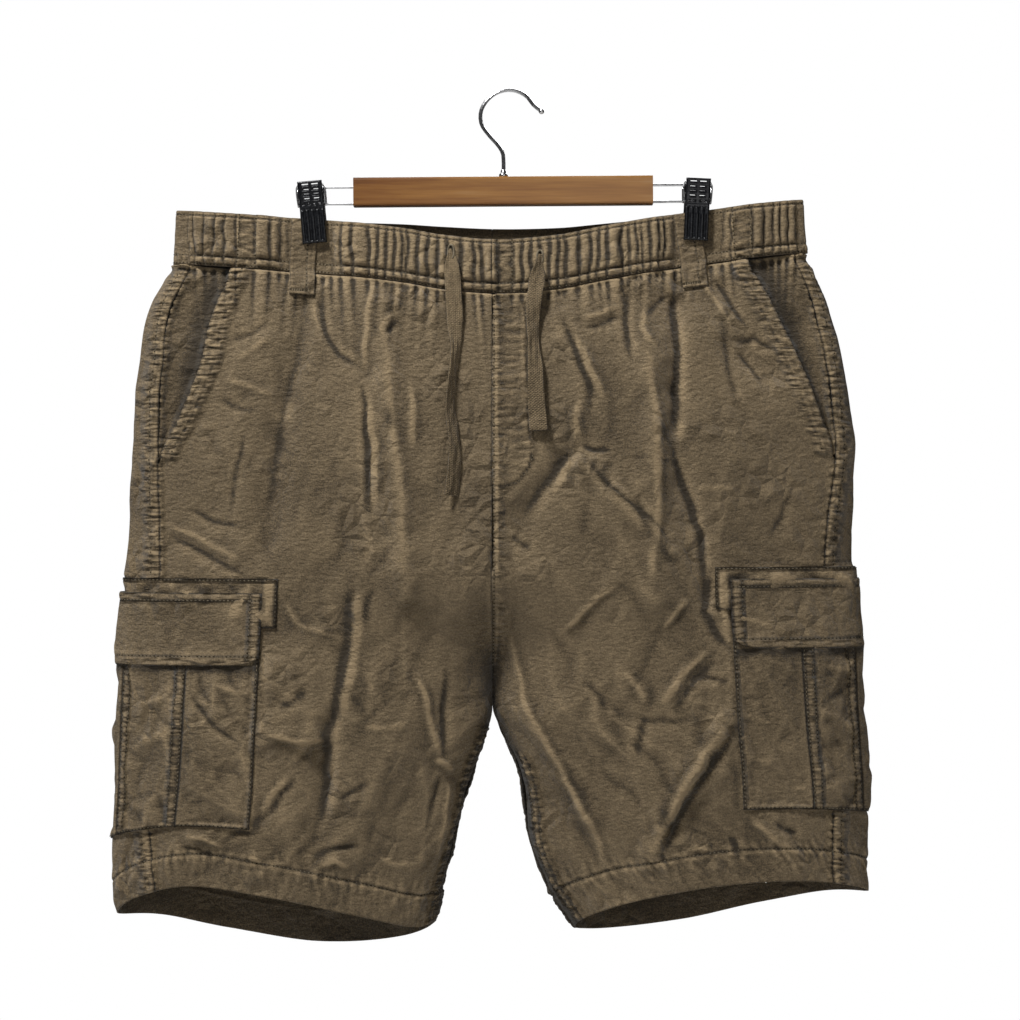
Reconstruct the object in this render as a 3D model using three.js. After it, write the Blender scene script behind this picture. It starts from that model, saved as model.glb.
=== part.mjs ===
// Cargo shorts hung on a wooden clip hanger, in millimetres, +Z up, front facing -Y.
// The origin is the inner top of the hanger's hook, where a rail carries it.

import * as THREE from 'three';
import { mergeVertices } from 'three/addons/utils/BufferGeometryUtils.js';

// Driving sizes of the cloth
const CLOTH = 1.6;
const BAND_CLOTH = 2.4;
const SEAM_GAP = 0.3;
const CENTRE_X = -13;
const BAND_HEIGHT = 44;
const HEM_HEIGHT = 26;
const CROTCH_TOP = -390;
const CROTCH = -505;
const FACING_LAP = 6;
const PATCH_LAP = 12;
const POCKET_BACK = 50;
const POCKET_CLOTH = 1.4;
const SECOND_SEAM_SHARE = 0.2;

// The waist's slope fades out below it, and the folds fade in
const WAIST_FADE = 260;
const FOLD_FADE = 30;

// How the clips press front and back together: over what width, how much, and where it fades
const PRESS = { width: 30, share: 0.75, fadeFrom: -125, fade: 75 };

// Waistband: its base heights, how blunt its side folds are, its rows and its gathers
const BAND = { top: -88, bottom: -136, blunt: 0.6, rows: [0, 0.16, 0.84, 1] };
const GATHER = { pitch: 9.4, rise: 1.5, wander: 1.6, edgeShare: 0.3 };
const SEAM_X = { left: -260, right: 235 };

// Driving sizes of the hanger
const CLIP_X = { left: -162, right: 155.5 };
const CLIP_TOP = { left: -74.6, right: -72.2 };
const CLIP_LEAN = { left: -0.087, right: 0.045 };
const CLIP_WIDTH = 20;
const CLIP_HEIGHT = 50.4;
const CLIP_Y = -0.8;
const BAR = { length: 245, height: 23.5, depth: 12, x: -4, z: -81.7, tilt: -0.0075, corner: 2 };
const WIRE_RADIUS = 1.6;
const PRONG_RADIUS = 1.15;

// Each leg: which way is out, where its base heights start and end, and the heights of its pocket
const LEGS = {
  left: {
    side: 'left', out: -1, top: -141.6, hem: -673, hemBend: -470, inseamBack: 4, gape: 1,
    slashEnd: -302, patchTop: -398, flapTop: -409.5, patchLow: -438, flapLow: -469, pocketLow: -612,
  },
  right: {
    side: 'right', out: 1, top: -132.6, hem: -655, hemBend: -455, inseamBack: 9, gape: 4,
    slashEnd: -298, patchTop: -388.5, flapTop: -398, patchLow: -423, flapLow: -455, pocketLow: -590,
  },
};

// Outer fold of each leg at its base heights
const OUTER = [
  { height: -88, left: -272, right: 242 },
  { height: -136, left: -275, right: 246 },
  { height: -157, left: -281.6, right: 255.5 },
  { height: -173, left: -290.7, right: 262 },
  { height: -194, left: -297.2, right: 267.5 },
  { height: -221, left: -300, right: 273.5 },
  { height: -247, left: -304.2, right: 278 },
  { height: -300, left: -308.7, right: 284 },
  { height: -354, left: -311, right: 283 },
  { height: -407, left: -314, right: 284 },
  { height: -460, left: -317.4, right: 287 },
  { height: -513, left: -320, right: 289.5 },
  { height: -566, left: -321.8, right: 293 },
  { height: -620, left: -324, right: 294 },
  { height: -673, left: -319.5, right: 295 },
];

// Inner fold of each leg, which parts from the centre line below the crotch
const INNER = [
  { height: -390, left: -13.2, right: -12.8 },
  { height: -505, left: -13.6, right: -12.4 },
  { height: -531, left: -18, right: -1 },
  { height: -548, left: -25.4, right: 9 },
  { height: -575, left: -33.5, right: 15 },
  { height: -600, left: -40, right: 20 },
  { height: -622, left: -46.5, right: 32 },
  { height: -640, left: -53, right: 45 },
  { height: -655, left: -57, right: 55 },
  { height: -673, left: -60, right: 62 },
];

// Half the depth from front to back, and how blunt the side folds are
const DEPTH = [
  { height: -88, half: 13, blunt: 0.6 },
  { height: -136, half: 15, blunt: 0.6 },
  { height: -170, half: 20, blunt: 0.66 },
  { height: -220, half: 27, blunt: 0.76 },
  { height: -300, half: 34, blunt: 0.9 },
  { height: -400, half: 39, blunt: 1 },
  { height: -505, half: 42, blunt: 1 },
  { height: -600, half: 43, blunt: 1 },
  { height: -673, half: 43, blunt: 1 },
];

// Top edge of the waist, in front and behind
const WAIST = [
  { x: -272, front: -97.6, back: -97.6 },
  { x: -219, front: -101.3, back: -101 },
  { x: -151, front: -105.8, back: -105 },
  { x: -87, front: -113, back: -107 },
  { x: -55, front: -118.5, back: -109 },
  { x: -9, front: -122.5, back: -111 },
  { x: 42, front: -118.5, back: -110 },
  { x: 75, front: -112, back: -107 },
  { x: 115, front: -104.7, back: -103 },
  { x: 148, front: -99.3, back: -99 },
  { x: 206, front: -92.3, back: -92.3 },
  { x: 242, front: -88.6, back: -88.6 },
];

// Lower edge of the hem by the angle round the leg, from the inner fold over the front to the back
const HEM = [
  { degrees: 0, left: -678, right: -687 },
  { degrees: 15, left: -681, right: -671 },
  { degrees: 30, left: -668, right: -655 },
  { degrees: 45, left: -653, right: -643.5 },
  { degrees: 60, left: -644.5, right: -640.5 },
  { degrees: 75, left: -657, right: -647 },
  { degrees: 90, left: -673, right: -655 },
  { degrees: 110, left: -680, right: -660 },
  { degrees: 125, left: -694, right: -672 },
  { degrees: 142, left: -706, right: -688 },
  { degrees: 160, left: -699, right: -693 },
  { degrees: 180, left: -678, right: -687 },
];

// Reach from the outer fold to the pocket's front edge, the slash line or pocket seam, and the side seam
const REACH = {
  left: [
    { height: -141, edge: 95, slash: 49, seam: 16 },
    { height: -302, edge: 105, slash: 26, seam: 24 },
    { height: -398, edge: 117, slash: 56, seam: 30 },
    { height: -673, edge: 117, slash: 56, seam: 35 },
  ],
  right: [
    { height: -132, edge: 90, slash: 43, seam: 11 },
    { height: -298, edge: 98, slash: 19, seam: 17 },
    { height: -388, edge: 105, slash: 47, seam: 26 },
    { height: -655, edge: 105, slash: 47, seam: 32 },
  ],
};

// Largest folds: from one end to the other, how wide, and how far they stand out or sink in
const FOLDS = [
  { face: 'front', x1: -168, z1: -178, x2: -182, z2: -264, width: 11, rise: -4 },
  { face: 'front', x1: -182, z1: -264, x2: -196, z2: -368, width: 12, rise: -3.5 },
  { face: 'front', x1: -154, z1: -178, x2: -115, z2: -230, width: 7, rise: -2.5 },
  { face: 'front', x1: -104, z1: -172, x2: -93, z2: -270, width: 10, rise: 4 },
  { face: 'front', x1: -93, z1: -270, x2: -82, z2: -413, width: 13, rise: 4 },
  { face: 'front', x1: -141, z1: -511, x2: -158, z2: -618, width: 11, rise: -4 },
  { face: 'front', x1: -193, z1: -526, x2: -142, z2: -524, width: 9, rise: 2.5 },
  { face: 'front', x1: 136, z1: -178, x2: 137, z2: -280, width: 8, rise: -4 },
  { face: 'front', x1: 137, z1: -280, x2: 159, z2: -413, width: 9, rise: -3.5 },
  { face: 'front', x1: 114, z1: -205, x2: 121, z2: -413, width: 13, rise: 4 },
  { face: 'front', x1: 51, z1: -295, x2: 11, z2: -350, width: 12, rise: -3 },
  { face: 'front', x1: 62, z1: -307, x2: 130, z2: -377, width: 9, rise: 3 },
  { face: 'front', x1: 43, z1: -185, x2: 65, z2: -240, width: 8, rise: 2.5 },
  { face: 'front', x1: 186, z1: -212, x2: 214, z2: -230, width: 13, rise: -4 },
  { face: 'front', x1: 171, z1: -514, x2: 126, z2: -588, width: 9, rise: 4 },
  { face: 'front', x1: 126, z1: -588, x2: 111, z2: -626, width: 9, rise: 3 },
  { face: 'front', x1: 20, z1: -508, x2: 66, z2: -591, width: 10, rise: 3 },
  { face: 'back', x1: -120, z1: -180, x2: -96, z2: -330, width: 14, rise: 4 },
  { face: 'back', x1: -190, z1: -180, x2: -200, z2: -300, width: 13, rise: -4 },
  { face: 'back', x1: -40, z1: -330, x2: -130, z2: -430, width: 14, rise: 3 },
  { face: 'back', x1: -130, z1: -520, x2: -170, z2: -640, width: 14, rise: -4 },
  { face: 'back', x1: 70, z1: -180, x2: 84, z2: -320, width: 14, rise: -4 },
  { face: 'back', x1: 150, z1: -180, x2: 170, z2: -340, width: 14, rise: 4 },
  { face: 'back', x1: 20, z1: -330, x2: 110, z2: -440, width: 14, rise: 3 },
  { face: 'back', x1: 120, z1: -510, x2: 180, z2: -640, width: 14, rise: 4 },
];

// Finish of each material
const finish = (colour, roughness, metalness) =>
  new THREE.MeshStandardMaterial({ color: colour, roughness, metalness });
const MATERIALS = {
  cloth: finish(0x756952, 0.9, 0),
  tape: finish(0x6c6149, 0.92, 0),
  wood: finish(0x9a6b38, 0.45, 0),
  steel: finish(0xb9bbbd, 0.22, 1),
  black: finish(0x191a1e, 0.4, 0),
};

const part = new THREE.Group();

// Small maths
const mix = (a, b, share) => a + (b - a) * share;
const clamp = (value) => Math.min(1, Math.max(0, value));
const smooth = (value) => clamp(value) ** 2 * (3 - 2 * clamp(value));

// Reads one column of a table at a key, along a smooth curve through its rows
function read(table, key, at, column) {
  const rising = table[0][key] < table[table.length - 1][key];
  const order = rising ? 1 : -1;
  const last = table.length - 1;
  let i = 0;
  while (i < last - 1 && order * at > order * table[i + 1][key]) i += 1;
  const slope = (j) => {
    const a = table[Math.max(j - 1, 0)];
    const b = table[Math.min(j + 1, last)];
    return (b[column] - a[column]) / (b[key] - a[key]);
  };
  const span = table[i + 1][key] - table[i][key];
  const s = clamp((at - table[i][key]) / span);
  const s2 = s * s;
  const s3 = s2 * s;
  return (2 * s3 - 3 * s2 + 1) * table[i][column] + (s3 - 2 * s2 + s) * span * slope(i)
    + (3 * s2 - 2 * s3) * table[i + 1][column] + (s3 - s2) * span * slope(i + 1);
}

// The clips press front and back together: the share of the depth that is left at x
function slack(x, height) {
  const near = (clipX) => Math.exp(-(((x - clipX) / PRESS.width) ** 4));
  const press = Math.max(near(CLIP_X.left), near(CLIP_X.right));
  return 1 - PRESS.share * press * (1 - smooth((PRESS.fadeFrom - height) / PRESS.fade));
}

// Sum of the large folds at a place on the front or the back
function foldRise(face, x, z) {
  let rise = 0;
  for (const fold of FOLDS.filter((row) => row.face === face)) {
    const dx = fold.x2 - fold.x1;
    const dz = fold.z2 - fold.z1;
    const along = clamp(((x - fold.x1) * dx + (z - fold.z1) * dz) / (dx * dx + dz * dz));
    const away = Math.hypot(x - fold.x1 - dx * along, z - fold.z1 - dz * along);
    rise += fold.rise * Math.exp(-((away / fold.width) ** 2));
  }
  return rise;
}

// How far the two halves have closed into two legs, from 0 at the hips to 1 at the crotch
const closure = (height) => smooth((CROTCH_TOP - height) / (CROTCH_TOP - CROTCH));

// The point at an angle round one leg: 0 centre front, 90 degrees the outer fold, 180 centre back
function legPoint(leg, angle, height) {
  const outer = read(OUTER, 'height', height, leg.side);
  const inner = read(INNER, 'height', height, leg.side);
  const half = read(DEPTH, 'height', height, 'half');
  const blunt = read(DEPTH, 'height', height, 'blunt');
  const closed = closure(height);
  const s = Math.sin(angle);
  const c = Math.cos(angle);
  const openX = CENTRE_X + (outer - CENTRE_X) * s;
  const closedX = inner + (outer - inner) * s * s;
  const x = mix(openX, closedX, closed);
  const openY = -half * Math.sign(c) * Math.abs(c) ** blunt * slack(x, height);
  const closedY = -half * 2 * s * c + leg.inseamBack * c * c;
  let y = mix(openY, closedY, closed);
  const face = c >= 0 ? 'front' : 'back';
  const waist = read(WAIST, 'x', x, face) - BAND_HEIGHT - leg.top;
  const hem = read(HEM, 'degrees', THREE.MathUtils.radToDeg(angle), leg.side) - leg.hem;
  const waistShare = clamp(1 - (leg.top - height) / WAIST_FADE) ** 2;
  const hemShare = clamp((leg.hemBend - height) / (leg.hemBend - leg.hem - HEM_HEIGHT - 4)) ** 3;
  const z = height + waist * waistShare + hem * hemShare;
  const nearEdge = smooth((leg.top - height) / FOLD_FADE) * smooth(Math.abs(c) * 2.5);
  y -= Math.sign(c) * foldRise(face, x, z) * nearEdge;
  return new THREE.Vector3(x, y, z);
}

// The angle in front of the outer fold at a reach from it
function angleAt(leg, reach, height) {
  const outer = read(OUTER, 'height', height, leg.side);
  const inner = read(INNER, 'height', height, leg.side);
  const closed = closure(height);
  const square = leg.out * closed * (outer - inner);
  const line = leg.out * (1 - closed) * (outer - CENTRE_X);
  const rest = leg.out * (outer - leg.out * reach - mix(CENTRE_X, inner, closed));
  const s = square < 1e-6 ? rest / line : (Math.sqrt(line * line + 4 * square * rest) - line) / (2 * square);
  return Math.asin(clamp(s));
}

// The normal of the leg's surface, out of the cloth
function legNormal(leg, angle, height) {
  const turn = 0.02;
  const step = 2;
  const round = legPoint(leg, angle + turn, height).sub(legPoint(leg, angle - turn, height));
  const up = legPoint(leg, angle, height + step).sub(legPoint(leg, angle, height - step));
  return round.cross(up).multiplyScalar(leg.out).normalize();
}

// Column numbers round a leg
const FRONT_COLUMNS = 13;
const COLUMN = {
  centre: 0, patch: FRONT_COLUMNS, edge: FRONT_COLUMNS + 1, slash: FRONT_COLUMNS + 4,
  seam: FRONT_COLUMNS + 6, second: FRONT_COLUMNS + 8, fold: FRONT_COLUMNS + 9,
  secondBack: FRONT_COLUMNS + 10, backEdge: FRONT_COLUMNS + 13, last: FRONT_COLUMNS + 23,
};

// The angles of all columns at one height, spread evenly between the lines that pieces follow
function columnAngles(leg, height) {
  const reach = (column) => read(REACH[leg.side], 'height', height, column);
  const seam = reach('seam');
  const second = angleAt(leg, seam * SECOND_SEAM_SHARE, height);
  const stops = [
    [COLUMN.centre, 0],
    [COLUMN.patch, angleAt(leg, reach('edge') + PATCH_LAP, height)],
    [COLUMN.edge, angleAt(leg, reach('edge'), height)],
    [COLUMN.slash, angleAt(leg, reach('slash'), height)],
    [COLUMN.seam, angleAt(leg, seam, height)],
    [COLUMN.second, second],
    [COLUMN.fold, Math.PI / 2],
    [COLUMN.secondBack, Math.PI - second],
    [COLUMN.backEdge, Math.PI - angleAt(leg, POCKET_BACK, height)],
    [COLUMN.last, Math.PI],
  ];
  const angles = [];
  for (let i = 0; i < stops.length - 1; i += 1) {
    const [from, start] = stops[i];
    const [to, end] = stops[i + 1];
    for (let column = from; column < to; column += 1) {
      angles.push(mix(start, end, (column - from) / (to - from)));
    }
  }
  return [...angles, Math.PI];
}

// Base heights of the rows, with the lines that pieces follow
function rowHeights(leg) {
  const stops = [
    [0, leg.top], [2, leg.top - 32], [6, leg.slashEnd], [9, leg.patchTop], [10, leg.flapTop],
    [11, leg.patchLow], [12, leg.flapLow], [13, CROTCH], [17, leg.pocketLow],
    [18, leg.hem + HEM_HEIGHT], [19, leg.hem],
  ];
  const heights = [];
  for (let i = 0; i < stops.length - 1; i += 1) {
    const [from, start] = stops[i];
    const [to, end] = stops[i + 1];
    for (let row = from; row < to; row += 1) heights.push(mix(start, end, (row - from) / (to - from)));
  }
  return [...heights, leg.hem];
}
const ROW = { top: 0, slashEnd: 6, patchTop: 9, flapTop: 10, patchLow: 11, flapLow: 12, pocketLow: 17, hem: 19 };

// Points and normals of a whole leg, which every piece on it shares
function legGrid(leg) {
  return rowHeights(leg).map((height) => columnAngles(leg, height).map((angle) => ({
    point: legPoint(leg, angle, height),
    normal: legNormal(leg, angle, height),
  })));
}

// A spot between two spots of the grid
function between(a, b, share) {
  return { point: a.point.clone().lerp(b.point, share), normal: a.normal.clone().lerp(b.normal, share) };
}

// The spot moved towards another by half a seam's gap
function seamed(spot, towards) {
  return between(spot, towards, SEAM_GAP / 2 / spot.point.distanceTo(towards.point));
}

// Draws all four edges of a patch of spots in by half a seam's gap where asked
function trim(spots, edges) {
  const rows = spots.map((row) => {
    const copy = [...row];
    if (edges.includes('first')) copy[0] = seamed(row[0], row[1]);
    if (edges.includes('last')) copy[row.length - 1] = seamed(row[row.length - 1], row[row.length - 2]);
    return copy;
  });
  const end = rows.length - 1;
  if (edges.includes('top')) rows[0] = rows[0].map((spot, i) => seamed(spot, rows[1][i]));
  if (edges.includes('bottom')) rows[end] = rows[end].map((spot, i) => seamed(spot, rows[end - 1][i]));
  return rows;
}

// A closed wall between two grids of points
function wallGeometry(outerGrid, innerGrid) {
  const rows = outerGrid.length;
  const columns = outerGrid[0].length;
  const positions = [...outerGrid.flat(), ...innerGrid.flat()].flatMap((p) => [p.x, p.y, p.z]);
  const id = (layer, row, column) => (layer * rows + row) * columns + column;
  const faces = [];
  const quad = (a, b, c, d) => faces.push([a, b, c], [a, c, d]);
  for (let r = 0; r < rows - 1; r += 1) {
    for (let c = 0; c < columns - 1; c += 1) {
      quad(id(0, r, c), id(0, r + 1, c), id(0, r + 1, c + 1), id(0, r, c + 1));
      quad(id(1, r, c), id(1, r, c + 1), id(1, r + 1, c + 1), id(1, r + 1, c));
    }
    const end = columns - 1;
    quad(id(0, r, 0), id(1, r, 0), id(1, r + 1, 0), id(0, r + 1, 0));
    quad(id(0, r, end), id(0, r + 1, end), id(1, r + 1, end), id(1, r, end));
  }
  for (let c = 0; c < columns - 1; c += 1) {
    const end = rows - 1;
    quad(id(0, 0, c), id(0, 0, c + 1), id(1, 0, c + 1), id(1, 0, c));
    quad(id(0, end, c), id(1, end, c), id(1, end, c + 1), id(0, end, c + 1));
  }
  return closedGeometry(positions, faces);
}

// Merges shared corners, drops empty faces and turns the faces out
function closedGeometry(positions, faces) {
  const raw = new THREE.BufferGeometry();
  raw.setAttribute('position', new THREE.Float32BufferAttribute(positions, 3));
  raw.setIndex(faces.flat());
  const geometry = mergeVertices(raw, 1e-3);
  const spots = geometry.getAttribute('position');
  const index = Array.from(geometry.getIndex().array);
  const kept = [];
  let volume = 0;
  const corner = (i) => new THREE.Vector3().fromBufferAttribute(spots, i);
  for (let i = 0; i < index.length; i += 3) {
    const [a, b, c] = index.slice(i, i + 3);
    if (a !== b && b !== c && a !== c) {
      kept.push([a, b, c]);
      volume += corner(a).dot(corner(b).cross(corner(c)));
    }
  }
  geometry.setIndex((volume > 0 ? kept : kept.map(([a, b, c]) => [a, c, b])).flat());
  geometry.computeVertexNormals();
  return geometry;
}

// Adds a named mesh to the part
function add(name, geometry, material, parent = part) {
  const mesh = new THREE.Mesh(geometry, material);
  mesh.name = name;
  parent.add(mesh);
  return mesh;
}

// A wall of cloth from spots: its outer side is lifted by lift, and it is thick behind that
function addCloth(name, spots, lift, thick = CLOTH) {
  const moved = (amount) => spots.map((row) => row.map(({ point, normal }) =>
    point.clone().addScaledVector(normal, amount)));
  add(name, wallGeometry(moved(lift), moved(lift - thick)), MATERIALS.cloth);
}

// Takes a block of the grid, from one line to another
function block(grid, rowFrom, rowTo, columnFrom, columnTo) {
  return grid.slice(rowFrom, rowTo + 1).map((row) => row.slice(columnFrom, columnTo + 1));
}

// Leg panels: the front one stops at the slash line above the slash pocket's end
function addLeg(leg, grid) {
  const { side } = leg;
  const front = block(grid, ROW.top, ROW.hem, COLUMN.centre, COLUMN.seam).map((row, r) => {
    if (r > ROW.slashEnd) return row;
    const open = Math.sin((Math.PI * r) / ROW.slashEnd);
    const edge = { point: row[COLUMN.slash].point.clone(), normal: row[COLUMN.slash].normal };
    edge.point.addScaledVector(edge.normal, leg.gape * open);
    return row.map((spot, c) => (c < COLUMN.slash ? spot : edge));
  });
  const frontSeamed = front.map((row, r) => {
    const copy = [...row];
    const end = r > ROW.slashEnd ? COLUMN.seam : COLUMN.slash;
    copy[0] = seamed(row[0], row[1]);
    for (let c = end; c <= COLUMN.seam; c += 1) copy[c] = seamed(row[end], row[end - 1]);
    return copy;
  });
  addCloth(`front_${side}`, trim(frontSeamed, ['top']), 0);
  const back = block(grid, ROW.top, ROW.hem, COLUMN.seam, COLUMN.last);
  addCloth(`back_${side}`, trim(back, ['first', 'last', 'top']), 0);
}

// Pocket facing, which lies behind the slash line and reaches a little under the front panel
function addFacing(leg, grid) {
  const under = CLOTH + SEAM_GAP + 0.1;
  const spots = block(grid, ROW.top, ROW.slashEnd, COLUMN.slash - 1, COLUMN.seam).map((row) => {
    const lap = FACING_LAP / row[0].point.distanceTo(row[1].point);
    return [between(row[1], row[0], Math.min(lap, 0.8)), ...row.slice(1)];
  });
  addCloth(`facing_${leg.side}`, trim(spots, ['last', 'top']), -under);
}

// Cargo pocket: patch behind the flap, three panels across the side seam, and the flap over them
function addCargo(leg, grid) {
  const { side } = leg;
  const pocketLift = SEAM_GAP + POCKET_CLOTH;
  const patch = block(grid, ROW.patchTop, ROW.patchLow, COLUMN.patch, COLUMN.backEdge);
  addCloth(`patch_${side}`, trim(patch, ['bottom']), pocketLift, POCKET_CLOTH);
  const panels = [
    ['cargo_front', COLUMN.edge, COLUMN.slash],
    ['cargo_middle', COLUMN.slash, COLUMN.second],
    ['cargo_back', COLUMN.second, COLUMN.backEdge],
  ];
  for (const [name, from, to] of panels) {
    const panel = block(grid, ROW.patchLow, ROW.pocketLow, from, to);
    addCloth(`${name}_${side}`, trim(panel, ['first', 'last', 'top']), pocketLift, POCKET_CLOTH);
  }
  const flapLift = 2 * pocketLift;
  const flap = block(grid, ROW.flapTop, ROW.flapLow, COLUMN.edge, COLUMN.backEdge);
  addCloth(`flap_${side}`, flap, flapLift, POCKET_CLOTH);
}

for (const leg of Object.values(LEGS)) {
  const grid = legGrid(leg);
  addLeg(leg, grid);
  addFacing(leg, grid);
  addCargo(leg, grid);
}

// Waistband: the point at a share down it, at an angle round the waist from the centre front
function bandSpot(round, down, rise) {
  const s = Math.sin(round);
  const c = Math.cos(round);
  const leg = s < 0 ? LEGS.left : LEGS.right;
  const height = mix(BAND.top, BAND.bottom, down);
  const at = (turn) => {
    const sine = Math.sin(turn);
    const cosine = Math.cos(turn);
    const outer = read(OUTER, 'height', height, leg.side);
    const x = CENTRE_X + Math.abs(outer - CENTRE_X) * sine;
    const y = -read(DEPTH, 'height', height, 'half') * Math.sign(cosine) * Math.abs(cosine) ** BAND.blunt
      * slack(x, height);
    return new THREE.Vector3(x, y, 0);
  };
  const point = at(round);
  const along = at(round + 0.01).sub(at(round - 0.01));
  const normal = new THREE.Vector3(along.y, -along.x, 0).normalize();
  const drop = (BAND_HEIGHT - SEAM_GAP / 2) * down;
  point.z = read(WAIST, 'x', point.x, c >= 0 ? 'front' : 'back') - drop;
  return { point: point.addScaledVector(normal, rise), normal };
}

// Gathers of the elastic: a ridge between two valleys, flat where a clip presses them
const BAND_MIDDLE = (BAND.top + BAND.bottom) / 2;
function gatherRise(x, number) {
  const uneven = 0.75 + 0.25 * Math.sin(number * 1.7);
  return GATHER.rise * uneven * clamp((slack(x, BAND_MIDDLE) - 0.3) * 2);
}

// Angles round the waist of an x on the front or the back
const waistWidth = (x) =>
  Math.abs(read(OUTER, 'height', BAND_MIDDLE, x < CENTRE_X ? 'left' : 'right') - CENTRE_X);
const frontAngle = (x) => Math.asin(Math.max(-1, Math.min(1, (x - CENTRE_X) / waistWidth(x))));
const backAngle = (x) => Math.PI - frontAngle(x);

// One stretch of the band along its angles, as columns of valleys and ridges
function addBand(name, angles) {
  const columns = angles.map((round, i) => {
    const { point } = bandSpot(round, 0.5, 0);
    const rise = i % 2 === 1 ? gatherRise(point.x, i) : 0;
    return BAND.rows.map((down) =>
      bandSpot(round, down, down > 0 && down < 1 ? rise : rise * GATHER.edgeShare));
  });
  const outer = BAND.rows.map((down, row) => columns.map((column) => column[row].point));
  const inner = BAND.rows.map((down) => angles.map((round) => bandSpot(round, down, -BAND_CLOTH).point));
  add(name, wallGeometry(outer, inner), MATERIALS.cloth);
}

// Evenly pitched gathers between two places, each a little off its own
function gatherAngles(fromX, toX, toAngle) {
  const count = 2 * Math.round(Math.abs(toX - fromX) / GATHER.pitch);
  const angles = [];
  for (let i = 0; i <= count; i += 1) {
    const wander = i > 0 && i < count ? GATHER.wander * Math.sin(i * 2.4) : 0;
    angles.push(toAngle(mix(fromX, toX, i / count) + wander));
  }
  return angles;
}

// The band is seamed at the centre front, the centre back and the two sides
const halfGap = SEAM_GAP / 2;
const sideGapAngle = halfGap / 60;
const leftOfCentre = CENTRE_X - halfGap;
const rightOfCentre = CENTRE_X + halfGap;
addBand('waistband_front_left', gatherAngles(SEAM_X.left, leftOfCentre, frontAngle));
addBand('waistband_front_right', gatherAngles(rightOfCentre, SEAM_X.right, frontAngle));
const sideShares = [0, 0.2, 0.45, 0.7];
const rightEnd = frontAngle(SEAM_X.right) + sideGapAngle;
const rightBack = gatherAngles(SEAM_X.right, rightOfCentre, backAngle);
addBand('waistband_back_right', [
  ...sideShares.map((share) => mix(rightEnd, rightBack[0], share)),
  ...rightBack,
]);
const leftEnd = 2 * Math.PI + frontAngle(SEAM_X.left) - sideGapAngle;
const leftBack = gatherAngles(leftOfCentre, SEAM_X.left, backAngle);
addBand('waistband_back_left', [
  ...leftBack,
  ...sideShares.map((share) => mix(leftEnd, leftBack[leftBack.length - 1], share)).reverse(),
]);

// Belt loops: strips of tape over the waistband, longer than it below
const LOOP_WIDTH = 21;
const LOOP_CLOTH = 1.4;
const LOOP_LIFT = { front: 0.6, back: 2.15 };
function addLoop(name, topX, lowX, face, below) {
  const shares = [0, 0.3, 0.62, 0.8, 1];
  const lift = LOOP_LIFT[face];
  const onBand = BAND_HEIGHT / (BAND_HEIGHT + below);
  const spots = shares.map((share) => [-0.5, 0, 0.5].map((side) => {
    const x = mix(topX, lowX, share) + side * LOOP_WIDTH;
    const onFace = (angle) => (face === 'front' ? angle : Math.PI - angle);
    const down = share / onBand;
    if (down <= 1) return bandSpot(onFace(frontAngle(x)), down, lift);
    const leg = x < CENTRE_X ? LEGS.left : LEGS.right;
    const height = leg.top - (down - 1) * BAND_HEIGHT;
    const reach = Math.abs(read(OUTER, 'height', height, leg.side) - x);
    const angle = onFace(angleAt(leg, reach, height));
    const normal = legNormal(leg, angle, height);
    return { point: legPoint(leg, angle, height).addScaledVector(normal, Math.max(lift, 1)), normal };
  }));
  addCloth(name, spots, LOOP_CLOTH, LOOP_CLOTH);
}
addLoop('loop_left', -167, -168, 'front', 20);
addLoop('loop_right', 146, 153, 'front', 20);
addLoop('loop_back_left', -120, -120, 'back', 8);
addLoop('loop_back_middle', CENTRE_X, CENTRE_X, 'back', 8);
addLoop('loop_back_right', 95, 95, 'back', 8);

// Drawstrings: flat tapes that leave the waistband through an eyelet and hang in front of it
const TAPE = { width: 13, thick: 1.8 };
function tapeSection() {
  const shape = new THREE.Shape();
  const w = TAPE.width / 2;
  const t = TAPE.thick / 2;
  const corners = [[w, t * 0.5], [w * 0.9, t], [-w * 0.9, t], [-w, t * 0.5],
    [-w, -t * 0.5], [-w * 0.9, -t], [w * 0.9, -t], [w, -t * 0.5]];
  corners.forEach(([a, b], i) => (i ? shape.lineTo(a, b) : shape.moveTo(a, b)));
  return shape;
}
function addTape(name, stops, steps) {
  const path = new THREE.CatmullRomCurve3(stops.map(([x, y, z]) => new THREE.Vector3(x, y, z)));
  const geometry = new THREE.ExtrudeGeometry(tapeSection(), { steps, extrudePath: path });
  geometry.deleteAttribute('normal');
  geometry.deleteAttribute('uv');
  add(name, geometry, MATERIALS.tape);
}
addTape('drawstring_left', [
  [-46, -16.4, -131], [-45.9, -17.6, -138], [-45.4, -19, -147], [-44.5, -20.8, -160],
  [-43.2, -23.5, -182], [-42.2, -28, -210], [-45.5, -31.5, -240], [-46.3, -33.8, -262],
  [-42.8, -36.5, -290], [-43.2, -38, -312], [-45.3, -39, -331],
], 12);
addTape('drawstring_right', [
  [25.9, -15.9, -135], [25.5, -16.9, -142], [24.2, -18.8, -152], [22, -21.8, -166],
  [20, -24.5, -185], [20.6, -28.5, -208], [22, -31.8, -230], [22.6, -34, -252], [24.5, -36.5, -279],
], 10);

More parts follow.
